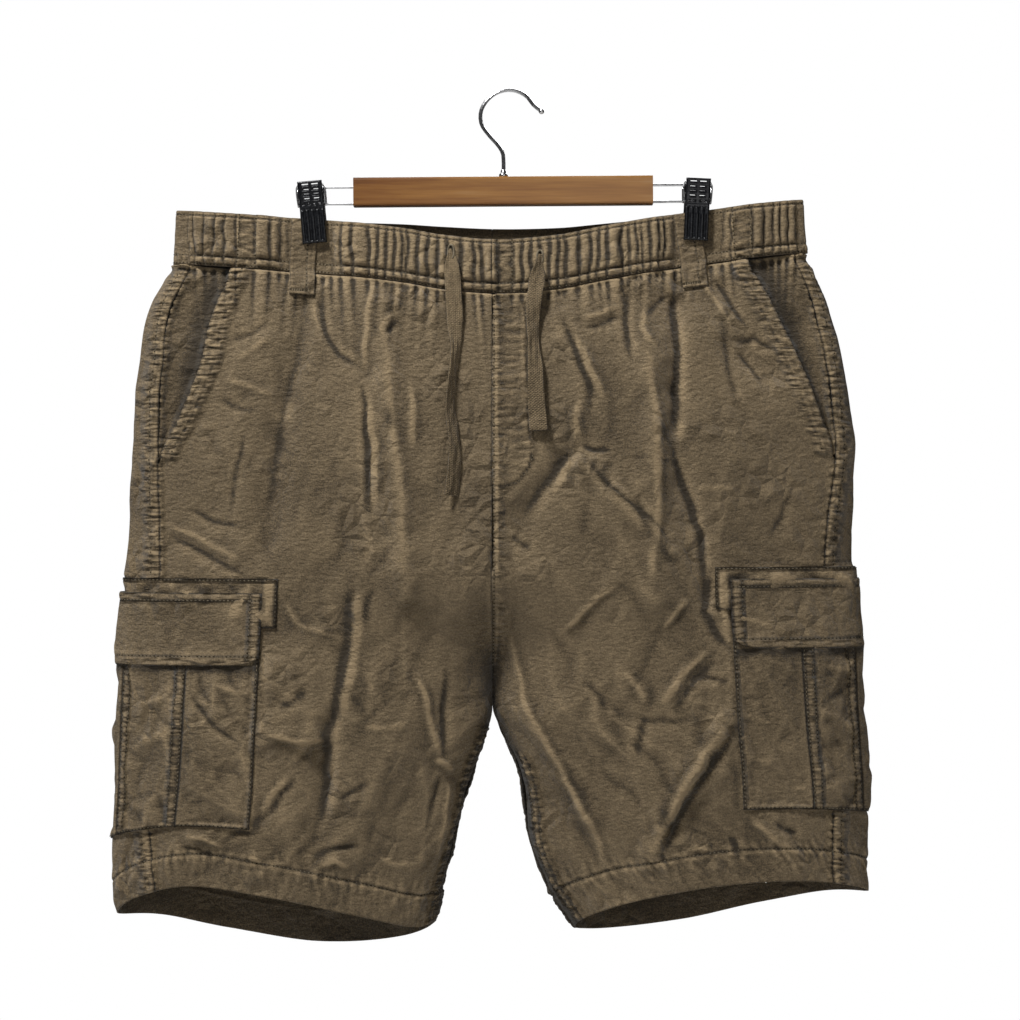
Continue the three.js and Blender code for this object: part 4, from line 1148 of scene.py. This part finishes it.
# Cargo pockets: each panel's edges, layer, grid step, stitch rows by distance from an edge, and flat size
POCKET_PARTS = {
    "patch": dict(edges=("patch", "back_edge", "patch_top", "patch_low"), layer=0, step=2.5,
                  rows={"top": (1.5,), "first": (1.5,)}, flat=(0.19, 0.04)),
    "cargo_front": dict(edges=("edge", "slash", "patch_low", "pocket_low"), layer=0, step=1.875,
                        rows={"first": (1.6,), "low": (1.8,)}, flat=(0.062, 0.165)),
    "cargo_middle": dict(edges=("slash", "second", "patch_low", "pocket_low"), layer=0, step=1.875,
                         rows={"first": (1.4, 8.0), "last": (1.6, 7.5), "low": (1.8,)}, flat=(0.055, 0.165)),
    "cargo_back": dict(edges=("second", "back_edge", "patch_low", "pocket_low"), layer=0, step=2.125,
                       rows={"last": (1.6,), "low": (1.8,)}, flat=(0.075, 0.165)),
    "flap": dict(edges=("edge", "back_edge", "flap_top", "flap_low"), layer=1, step=2.0,
                 rows={"top": (6.5,), "low": (8.0,), "first": (9.4,), "last": (9.4,)}, flat=(0.178, 0.06)),
}

# The slanting fold in the left cargo pocket's front panel: each point's distance back from a line that lies
# FOLD_LINE off the first edge, and its height over the panel's top
FOLD_LINE = 66.0
POCKET_FOLD = [(58.0, -96.0), (32.0, -78.0), (8.0, -48.0)]


def panel_gaps(leg, part, angles, heights):
    """Distances of each spot from the panel's four edges, and the way along each edge."""
    first, last, top, low = POCKET_PARTS[part]["edges"]
    angles, heights = np.broadcast_arrays(angles, heights)
    place = arc(leg, angles, heights)
    start = arc(leg, line_angle(leg, first, heights), heights)
    end = arc(leg, line_angle(leg, last, heights), heights)
    return {"first": (place - start, heights), "last": (end - place, heights),
            "top": (leg[top] - heights, place), "low": (heights - leg[low], place)}


def panel_relief(leg, part, seed):
    """A function that gives the panel's own creases, puckers and stitch grooves."""
    rows, on_top = POCKET_PARTS[part]["rows"], POCKET_PARTS[part]["layer"] > 0

    def relief(angles, heights):
        gaps = panel_gaps(leg, part, angles, heights)
        nearest = np.min([gap for gap, _ in gaps.values()], axis=0)
        rise = -0.75 * (1 - smooth(nearest / 1.6))
        for number, (edge, distances) in enumerate(rows.items()):
            gap, along = gaps[edge]
            for distance in distances:
                rise = rise - 0.5 * bell((gap - distance) / 0.9)
            strength = 0.35 if on_top else 0.75
            wave = pucker(along, gap, seed + 7.0 * number)
            rise = rise + strength * wave * smooth((max(distances) + 8 - gap) / 8)
        across, down = gaps["first"][0], gaps["top"][0]
        crumple = crumples(PANEL_CRUMPLES, across, down, seed)
        rise = rise + crumple * smooth(nearest / 10) * (0.35 if on_top else 1.0)
        if part == "cargo_front" and leg["side"] == "left":
            rise = rise + line_rise(FOLD_LINE - across, -down, POCKET_FOLD, 3.2, 0.2, -2.2)
        return rise

    return relief


def panel_shade(leg, part, angles, heights):
    """Painted shade along a panel's edges and stitch rows, a painted shadow under the flap, and how far its
    seams draw the cloth up.
    """
    gaps = panel_gaps(leg, part, angles, heights)
    nearest = np.min([gap for gap, _ in gaps.values()], axis=0)
    shadow = -0.9 * bell(nearest / 1.3)
    drawn = np.zeros_like(nearest)
    for edge, distances in POCKET_PARTS[part]["rows"].items():
        gap = gaps[edge][0]
        drawn = np.maximum(drawn, smooth((max(distances) + 3 - gap) / 4))
        for distance in distances:
            shadow = shadow - 0.35 * bell((gap - distance) / 1.1)
    under = leg["flap_low"] - heights
    shadow = shadow - 1.0 * bell(under / 5) * (under > -1) * (part != "flap")
    return shadow, 0.8 * drawn


def build_cargo(leg):
    for number, (part, row) in enumerate(POCKET_PARTS.items()):
        first, last, top, low = row["edges"]
        coarse = row["step"]
        fine = 0.8 * coarse
        lift = (SEAM_GAP + POCKET_CLOTH + 0.5) * (1 + row["layer"])
        relief = panel_relief(leg, part, 17.0 * number + leg["pocket_seed"])
        heights = -spread(0.15 - leg[top], -leg[low] - 0.15, fine, coarse, 8)[:, None]
        share = shares_of(row["flat"][0] * 1000, fine, coarse, 10)
        start, end = line_angle(leg, first, heights), line_angle(leg, last, heights)
        angles = mix(start + 0.0005, end - 0.0005, share)
        if part == "flap":
            heights = heights + clamp(1 - (heights - leg[low]) / 7) * 5.5 * (1 - share) ** 30
        shadow, drawn = panel_shade(leg, part, angles, heights)
        cloth_piece(leg, part, angles, heights, lift, POCKET_CLOTH, relief, shadow, drawn)
        sew_panel(leg, row, lift, relief)


def sew_panel(leg, row, lift, relief):
    """Stitches along each of a panel's rows, at a distance from one of its edges."""
    first, last, top, low = row["edges"]
    for edge, distances in row["rows"].items():
        for distance in distances:
            if edge in ("first", "last"):
                at = np.linspace(leg[top] - 2, leg[low] + 2, 140)
                line, offset = (first, distance) if edge == "first" else (last, -distance)
                turns = angle_off(leg, line, at, offset)
            else:
                height = leg[top] - distance if edge == "top" else leg[low] + distance
                start, end = line_angle(leg, first, height), line_angle(leg, last, height)
                turns = np.linspace(start + 0.01, end - 0.01, 160)
                at = np.full_like(turns, height)
            sew_leg(leg, turns, at, lift, relief)


# Waistband: the heights at which its section is read, and its stitch rows as shares of its height
BAND_TOP, BAND_MIDDLE, BAND_FOOT = -88.0, -112.0, -136.0
BAND_ROWS = (0.075, 0.825, 0.972)


def band_surface(turn, down):
    """Points and normals round the waist: turn 0 is the centre front, down 0 the top edge."""
    turn, down = np.broadcast_arrays(np.asarray(turn, float), np.asarray(down, float))
    height = mix(BAND_TOP, BAND_FOOT, down)

    def at(angle):
        s, c = np.sin(angle), np.cos(angle)
        outer = np.where(s < 0, outer_fold("left", height), outer_fold("right", height))
        x = CENTRE_X + np.abs(outer - CENTRE_X) * s
        y = -read(DEPTH, "height", height, "half") * np.sign(c) * np.abs(c) ** 0.6 * slack(x, height)
        return np.stack([x, y, np.zeros_like(x)], axis=-1)

    point = at(turn)
    along = at(turn + 0.01) - at(turn - 0.01)
    normal = unit(np.stack([along[..., 1], -along[..., 0], np.zeros_like(turn)], axis=-1))
    front = np.cos(turn) >= 0
    top = by_face(front, waist_top, point[..., 0])
    point[..., 2] = top - (BAND_HEIGHT - SEAM_GAP / 2) * down
    return point, normal


def waist_width(x):
    outer = np.where(x < CENTRE_X, outer_fold("left", BAND_MIDDLE), outer_fold("right", BAND_MIDDLE))
    return np.abs(outer - CENTRE_X)


def front_turn(x):
    return np.arcsin(np.clip((x - CENTRE_X) / waist_width(x), -1, 1))


def band_rise(turn, point, down):
    """The band's gathers, flatter where it is sewn down or held by a clip, with stitch rows and soft edges."""
    turn, down = np.broadcast_arrays(turn, down)
    x, drop = point[..., 0], down * BAND_HEIGHT
    front = np.cos(turn) >= 0
    sway = 2.0 * noise(np.stack([x, drop * 0.8, x * 0 + 31], axis=-1), 13.0)
    pillow = by_face(front, pillows, x + sway)
    flat = strips(x) * front
    between = smooth(down / 0.13) * smooth((0.82 - down) / 0.1)
    foot = smooth((down - 0.82) / 0.06) * smooth((0.985 - down) / 0.06)
    rise = GATHER_RISE * pillow * (0.35 + 0.65 * between + 0.45 * foot) * (1 - 0.65 * flat)
    lines = sum(bell(((down - row) * BAND_HEIGHT) / 0.9) for row in BAND_ROWS)
    rise = rise * (1 - 0.35 * lines) - 0.6 * lines
    rise = rise + 1.2 * flat * pucker(drop, x, 23.0, 2.8)
    rise = rise + 0.9 * pucker(x, drop, 29.0, 2.6) * (0.2 + foot)
    rise = rise - 0.7 * (1 - smooth(drop / 1.3)) - 0.4 * (1 - smooth((1 - down) * BAND_HEIGHT / 1.2))
    return rise * clamp((slack(x, BAND_MIDDLE) - 0.3) * 2 + 0.15)


def band_point(turn, down):
    point, normal = band_surface(turn, down)
    return point + normal * band_rise(turn, point, down)[..., None], normal


def build_waistband():
    downs = shares_of(BAND_HEIGHT, 0.9, 2.0, 11).T
    left, right = front_turn(SEAM_X["left"]), front_turn(SEAM_X["right"])
    gap, side_gap = ANGLE_GAP, 0.0025
    spans = [
        ("front_left", left, -gap, 190, 0.27), ("front_right", gap, right, 190, 0.27),
        ("back_right", right + side_gap, math.pi - gap, 200, 0.3),
        ("back_left", math.pi + gap, 2 * math.pi + left - side_gap, 200, 0.3),
    ]
    for name, start, end, width, flat in spans:
        turns = np.linspace(start, end, width)[None, :]
        point, normal = band_surface(turns, downs)
        rise = band_rise(turns, point, downs)
        outer, inner = point + normal * rise[..., None], point - normal * BAND_CLOTH
        # The band's colour follows its gathers: painted shade in the valleys, paler pillows
        piece = wall_piece(f"waistband_{name}_cloth", outer, inner, CLOTH_LOOK, "cloth",
                           (f"waistband_{name}",), wear=hollows(rise))
    turns = np.concatenate([np.linspace(left, right, 900), np.linspace(right, 2 * math.pi + left, 900)[1:]])
    for row in BAND_ROWS:
        sew("waist", *band_point(turns, np.full_like(turns, row)), pitch=2.9)
    downs = np.linspace(0.03, 0.97, 60)
    for x in np.ravel(TACK_STRIPS):
        sew("waist", *band_point(np.full_like(downs, front_turn(x)), downs))


# Buttonholes that the drawstring comes out of
EYELETS = {"left": (-46.3, -133.2), "right": (26.0, -137.4)}
EYELET_WIDE, EYELET_TALL = 2.4, 5.6
EYELET_STEPS = 72


def build_eyelets():
    for side, (x, z) in EYELETS.items():
        turn = front_turn(x)
        top = band_surface(turn, 0.0)[0][2]
        middle = (top - z) / BAND_HEIGHT
        rounds = np.linspace(0, 2 * math.pi, EYELET_STEPS + 1)
        turns = front_turn(x + EYELET_WIDE * np.cos(rounds))
        downs = middle + EYELET_TALL * np.sign(np.sin(rounds)) * np.abs(np.sin(rounds)) ** 0.8 / BAND_HEIGHT
        path, normal = band_point(turns, downs)
        path = path + normal * 0.35
        thread = 0.75 + 0.16 * np.sin(rounds * 34)
        tube_piece(f"eyelet_{side}", path, thread, THREAD_LOOK, "cloth", sides=8)
        # A dark disc of painted shade fills each buttonhole
        centre, out = band_point(np.array([turn]), np.array([middle]))
        ring = path * 0.86 + centre * 0.14 - normal * 0.15
        points = np.concatenate([ring[:-1], centre + out * 0.1])
        faces = [(i, (i + 1) % EYELET_STEPS, EYELET_STEPS) for i in range(EYELET_STEPS)]
        add_piece(f"eyelet_hole_{side}", points, faces, HOLE_LOOK, "cloth")


# Belt loops
LOOP_WIDTH = 21.0
LOOP_CLOTH = 1.4
LOOP_STITCH = 0.17
LOOPS = {
    "loop_left": dict(top=-167, low=-168, face="front", below=20),
    "loop_right": dict(top=146, low=153, face="front", below=20),
    "loop_back_left": dict(top=-120, low=-120, face="back", below=8),
    "loop_back_middle": dict(top=CENTRE_X, low=CENTRE_X, face="back", below=8),
    "loop_back_right": dict(top=95, low=95, face="back", below=8),
}


def loop_surface(loop, shares, sides):
    """Points and normals where a loop lies on the band and on the panel below it."""
    face = loop["face"]
    lift = 0.9 if face == "front" else 2.15
    down = shares * (BAND_HEIGHT + loop["below"]) / BAND_HEIGHT
    x = mix(loop["top"], loop["low"], shares) + sides * LOOP_WIDTH
    down, x = np.broadcast_arrays(down, x)
    turn = front_turn(x)
    turn = turn if face == "front" else math.pi - turn
    band, band_normal = band_surface(turn, np.minimum(down, 1))
    leg = LEGS["left"] if x.mean() < CENTRE_X - 1 else LEGS["right"]
    height = leg["top"] - np.maximum(down - 1, 0) * BAND_HEIGHT
    outer = outer_fold(leg["side"], height)
    angle = angle_at(leg, np.abs(outer - x), height)
    angle = angle if face == "front" else math.pi - angle
    panel, panel_normal = leg_base(leg, angle, height), leg_normal(leg, angle, height)
    share = smooth((down - 0.9) / 0.2)[..., None]
    z = np.where((down <= 1)[..., None], band, panel)[..., 2:]
    point = mix(band + band_normal * lift, panel + panel_normal * (max(lift, 1) + 1.2), share)
    point[..., 2:] = z
    return point, unit(mix(band_normal, panel_normal, share))


def loop_point(loop, shares, sides):
    point, normal = loop_surface(loop, shares, sides)
    shares, sides = np.broadcast_arrays(shares, sides)
    length = BAND_HEIGHT + loop["below"]
    edge = np.minimum(0.5 - np.abs(sides), 0.5) * LOOP_WIDTH
    end = np.minimum(shares, 1 - shares) * length
    rise = 0.5 * pucker(shares * length, sides * LOOP_WIDTH, abs(loop["top"]) + 2.0, 2.8)
    rise = rise - 0.8 * (1 - smooth(edge / 1.3)) - 0.8 * (1 - smooth(end / 1.3))
    rise = rise - 0.55 * bell(((sides - LOOP_STITCH) * LOOP_WIDTH) / 0.8)
    rise = rise - 0.5 * bell(((1 - shares) * length - 4) / 0.8)
    return point + normal * (LOOP_CLOTH + rise)[..., None], normal, rise


def build_loops():
    for name, loop in LOOPS.items():
        length = BAND_HEIGHT + loop["below"]
        shares = np.linspace(0, 1, 56)[:, None]
        sides = np.linspace(-0.5, 0.5, 23)[None, :]
        outer, _, rise = loop_point(loop, shares, sides)
        inner, _ = loop_surface(loop, shares, sides)
        # The loop's colour follows its relief: painted shade in its grooves and at its edges
        piece = wall_piece(f"belt_{name}", outer, inner, CLOTH_LOOK, "cloth", (name,),
                           flip=loop["face"] == "back", wear=hollows(rise))
        path = np.linspace(0.03, 0.93, 60)
        sew("loops", *loop_point(loop, path, np.full_like(path, LOOP_STITCH))[:2])
        across = np.linspace(-0.42, 0.42, 30)
        for gap in (3.2, 4.4):
            sew("loops", *loop_point(loop, np.full_like(across, 1 - gap / length), across)[:2], pitch=1.9)


# Drawstrings: the routes are the part's own, with the turn of the flat tape and its width at each point
TAPE = {"width": 13.0, "thick": 1.8}
TAPES = {
    "drawstring_left": [
        (-46, -16.4, -131, 0, 0.3), (-45.9, -17.6, -138, 0, 0.62), (-45.4, -19, -147, -4, 0.95),
        (-44.5, -21.8, -160, 0, 1), (-43.2, -24.5, -182, 6, 1), (-42.6, -27.2, -200, 18, 0.9),
        (-42.2, -29, -210, 40, 0.75), (-45.5, -32.5, -240, 56, 0.8), (-46.3, -34.8, -262, 48, 0.85),
        (-42.8, -37.5, -290, 42, 0.9), (-43.2, -39, -312, 38, 0.95), (-45.3, -40, -331, 34, 1),
    ],
    "drawstring_right": [
        (25.9, -15.9, -135, 0, 0.3), (25.5, -16.9, -142, 30, 0.6), (24.2, -18.8, -152, 12, 0.95),
        (22, -21.8, -166, -24, 1), (20, -24.5, -185, 18, 0.9), (20.6, -28.5, -208, 34, 0.85),
        (22, -31.8, -230, 8, 0.95), (22.6, -34, -252, -4, 1.04), (24.5, -36.5, -279, -6, 1.12),
    ],
}


def through(points, count):
    """Points evenly spaced along a smooth curve through the given points."""
    points = np.array(points, float)
    gaps = np.linalg.norm(np.diff(points[:, :3], axis=0), axis=1)
    at = np.concatenate([[0], np.cumsum(gaps)])
    rows = dict(at=at, **{str(k): points[:, k] for k in range(points.shape[1])})
    places = np.linspace(0, at[-1], count)
    return np.stack([read(rows, "at", places, str(k)) for k in range(points.shape[1])], axis=-1)


def build_tapes():
    """Flat woven tapes along their routes, turned and rippled, and thinner at their edges."""
    for name, stops in TAPES.items():
        curve = through(stops, 220)
        path, turn, width = curve[:, :3], np.radians(curve[:, 3]), curve[:, 4]
        tangent = unit(np.gradient(path, axis=0))
        across = unit(np.cross(tangent, (0, -1, 0)))
        out = unit(np.cross(across, tangent))
        wide = across * np.cos(turn)[:, None] + out * np.sin(turn)[:, None]
        thin = unit(np.cross(wide, tangent))
        thin = thin * np.where(thin[:, 1:2] > 0, -1, 1)
        share = np.linspace(-0.5, 0.5, 19)[None, :]
        total = np.linalg.norm(np.diff(path, axis=0), axis=1).sum()
        length = np.linspace(0, total, len(path))[:, None]
        middle = path[:, None, :] + wide[:, None, :] * (share * TAPE["width"] * width[:, None])[..., None]
        spot = np.stack(np.broadcast_arrays(length, 40 * share, 3.0), axis=-1)
        centre = middle + thin[:, None, :] * 0.9 * noise(spot, 13.0)[..., None]
        rib = 0.25 * np.cos(2 * math.pi * share * 4.5) * np.cos(length * 2.9)
        thick = TAPE["thick"] / 2 * (1 - 0.55 * (2 * np.abs(share)) ** 6) + 0 * length
        if name == "drawstring_right":
            thick = thick + folded_end(total - length, share)
        outer = centre + thin[:, None, :] * (thick + rib)[..., None]
        inner = centre - thin[:, None, :] * thick[..., None]
        # The tape's colour follows its ribs: painted shade between them, paler crests
        piece = wall_piece(f"{name}_tape", outer, inner, TAPE_LOOK, "tape", (name,), wear=2.4 * rib)


def folded_end(left, share):
    """What the doubled and stitched end adds to a tape's thickness, by the length left to its end."""
    stitched = bell((10 - left) / 0.7) * (0.6 + 0.4 * np.cos(share * 60))
    return 0.7 * smooth((11 - left) / 1.2) - 0.5 * stitched


# Hanger clips: a plate's height and its outer and inner faces, its slots and pinholes, and the wires' places
PLATE = [(0, -10, -7.4), (-12, -7.6, -5), (-21.5, -6.6, -4), (-29, -8, -5.6), (-50.4, -8, -5.2)]
SLOTS = [(u, w, 5.4, 2.3) for w in (-3.2, -6.9, -10.6, -14.3) for u in (-4.1, 4.1)]
PINHOLES = [(u, -18.2, 2.0, 2.0) for u in (-6.9, -2.3, 2.3, 6.9)]
PIN_Z = -19.0
EAR = [(9.6, -6.4, -2.5), (11.3, -4.6, -5), (11.6, -2.2, -12), (11.3, 0, PIN_Z), (11.6, 2.2, -12),
       (11.3, 4.6, -5), (9.6, 6.4, -2.5)]


# The spring's coil: its turns, radius, wire and how far it reaches to each side
COIL = {"turns": 7, "radius": 2.3, "wire": 0.62, "reach": 6.8}


def clip_place(side, points):
    """Turns a clip's own points by its lean and puts them on its place."""
    lean = CLIP_LEAN[side]
    x = points[..., 0] * math.cos(lean) + points[..., 2] * math.sin(lean) + CLIP_X[side]
    z = points[..., 2] * math.cos(lean) - points[..., 0] * math.sin(lean) + CLIP_TOP[side]
    return np.stack([x, points[..., 1] + CLIP_Y, z], axis=-1)


def clip_plates(side):
    """The front and back plates, with their slots and pinholes cut out and ribs on the jaws."""
    across = np.linspace(-CLIP_WIDTH / 2, CLIP_WIDTH / 2, 49)[None, :]
    down = np.linspace(0, -CLIP_HEIGHT, 85)[:, None]
    levels = np.array(PLATE, float)[::-1]
    outer_y = np.interp(down, levels[:, 0], levels[:, 1])
    inner_y = np.interp(down, levels[:, 0], levels[:, 2])
    middle_u, middle_w = (across[:, 1:] + across[:, :-1]) / 2, (down[1:] + down[:-1]) / 2
    kept = np.ones((down.size - 1, across.size - 1), bool)
    for u, w, wide, tall in SLOTS + PINHOLES:
        kept &= ~((np.abs(middle_u - u) < wide / 2) & (np.abs(middle_w - w) < tall / 2))
    edge = np.minimum(CLIP_WIDTH / 2 - np.abs(across), np.minimum(-down, CLIP_HEIGHT + down))
    ribbed = smooth((-22.5 - down) / 1.5) * smooth((down + 49.4) / 1.2)
    rib = 1.5 * ribbed * (np.abs(np.cos(math.pi * across / 4.3)) ** 0.8 - 0.75)
    rise = rib - 0.8 * (1 - smooth(edge / 1.1)) + 0.45 * bell((down + 21.4) / 0.8)
    x, z = np.broadcast_arrays(across, down)
    for face, sign in (("front", 1), ("back", -1)):
        outer = np.stack([x, sign * (outer_y - rise), z], axis=-1)
        inner = np.stack([x, sign * inner_y + 0 * x, z], axis=-1)
        wall_piece(f"clip_{side}_{face}_plate", clip_place(side, outer), clip_place(side, inner), BLACK_LOOK,
                   "black", (f"clip_{side}_{face}",), flip=sign < 0, kept=kept)


def clip_wires(side):
    """The coiled spring on its pin, and the bent wire on each side that joins the plates."""
    turn = np.linspace(0, 2 * math.pi * COIL["turns"], 260)
    along = np.linspace(-COIL["reach"], COIL["reach"], len(turn))
    y, z = COIL["radius"] * np.cos(turn), PIN_Z + COIL["radius"] * np.sin(turn)
    coil = np.stack([along, y, z], axis=-1)
    tube_piece(f"clip_{side}_spring", clip_place(side, coil), COIL["wire"], STEEL_LOOK, "steel",
               (f"clip_{side}_core",), 8)
    pin = np.array([(x, 0, PIN_Z) for x in (-10.6, -5, 0, 5, 10.6)], float)
    tube_piece(f"clip_{side}_pin", clip_place(side, pin), 1.2, STEEL_LOOK, "steel", sides=12)
    for name, sign in (("outer", -1), ("inner", 1)):
        ear = through([(sign * x, y, z) for x, y, z in EAR], 60)
        tube_piece(f"clip_{side}_wire_{name}", clip_place(side, ear), 0.75, STEEL_LOOK, "steel", sides=8)


def build_clips():
    for side in CLIP_X:
        clip_plates(side)
        clip_wires(side)


HOOK_TIP = (27.4, 0, -15.9)
HOOK_AIM = (5.4, 0, -4.3)
TIP_RADIUS = 2.3
COLLAR_X = -3.7
COLLAR = [(0.2, 3.4), (0.7, 3.7), (2.2, 3.7), (2.8, 3.0), (3.2, 2.4), (5.4, 2.3), (5.9, 1.9)]


def build_hook():
    """The ball on the hook's tip and the collar where its wire enters the bar."""
    angles = np.linspace(0, math.pi, 15)
    path = np.array(HOOK_TIP) - unit(np.array(HOOK_AIM)) * (TIP_RADIUS * np.cos(angles))[:, None]
    radius = np.maximum(TIP_RADIUS * np.sin(angles), 0.01)
    tube_piece("hook_tip", path, radius, STEEL_LOOK, "steel", sides=18)
    path = np.array([(COLLAR_X, 0, BAR_TOP + z) for z, _ in COLLAR])
    radius = np.array([radius for _, radius in COLLAR])
    tube_piece("hook_collar", path, radius, STEEL_LOOK, "steel", sides=20)


def dress_hanger():
    """Gives wood to the bar and steel to the hook and prongs, which show as the part's own solids."""
    wires = ["hanger_hook"] + [f"prong_{side}_{level}" for side in LEGS for level in ("upper", "lower")]
    for name in ["hanger_bar"] + wires:
        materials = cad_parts[name].data.materials
        materials.clear()
        materials.append(WOOD_LOOK if name == "hanger_bar" else STEEL_LOOK)


# Camera, floor, backdrop and lights
FLOOR = {"left": -2500, "right": 2500, "front": -2500, "back": 1500, "z": -1180}
AMBIENT = 0.055
LIGHT_AIM = (0, 0, -0.38)
LIGHTS = [
    ("key", (-0.7, -0.85, 1.3), 0.28, 47.0),
    ("fill", (0.5, -2.0, 0.0), 1.2, 6.5),
    ("back_light", (0.3, 1.5, 0.8), 1.2, 22.0),
]


def build_camera():
    data = bpy.data.cameras.new("camera")
    data.sensor_width = 36.0
    data.lens = data.sensor_width * -CAMERA["y"] / CAMERA["picture_width"]
    data.clip_end = 50.0
    camera = show("camera", data)
    camera.location = (CAMERA["x"] * MM, CAMERA["y"] * MM, CAMERA["z"] * MM)
    camera.rotation_euler = (math.pi / 2, 0, 0)
    bpy.context.scene.camera = camera
    bpy.context.scene.view_settings.view_transform = "Standard"


def build_floor():
    look, tree, shader, place = new_material("floor", 0.9)
    patches = noise_node(tree, place, 400.0, 2.0)
    pale = ramp_node(tree, patches, 0.3, 0.7, (0.8, 0.8, 0.79), (0.86, 0.86, 0.85))
    tree.links.new(pale, shader.inputs["Base Color"])
    corners = [("left", "front"), ("right", "front"), ("right", "back"), ("left", "back")]
    points = [(FLOOR[x], FLOOR[y], FLOOR["z"]) for x, y in corners]
    make_mesh("floor", points, [(0, 1, 2, 3)], look, False)


def build_backdrop():
    """A world that is white to the camera and dim to everything else."""
    world = bpy.data.worlds.new("studio")
    bpy.context.scene.world = world
    world.use_nodes = True
    tree = world.node_tree
    background = tree.nodes["Background"]
    background.inputs["Color"].default_value = (1, 1, 1, 1)
    seen = tree.nodes.new("ShaderNodeLightPath").outputs["Is Camera Ray"]
    strength = add_node(tree, "Mix", {"Factor": seen, "A": AMBIENT, "B": 1.0})
    tree.links.new(strength.outputs["Result"], background.inputs["Strength"])


def build_lights():
    for name, place, size, power in LIGHTS:
        data = bpy.data.lights.new(name, "AREA")
        data.size = size
        data.energy = power
        light = show(name, data)
        light.location = place
        aim = Vector(LIGHT_AIM) - Vector(place)
        light.rotation_euler = aim.to_track_quat("-Z", "Y").to_euler()


build_camera()
build_floor()
build_backdrop()
build_lights()
build_tapes()
build_legs()
build_waistband()
build_eyelets()
build_loops()
build_clips()
build_hook()
build_stitches()
dress_hanger()
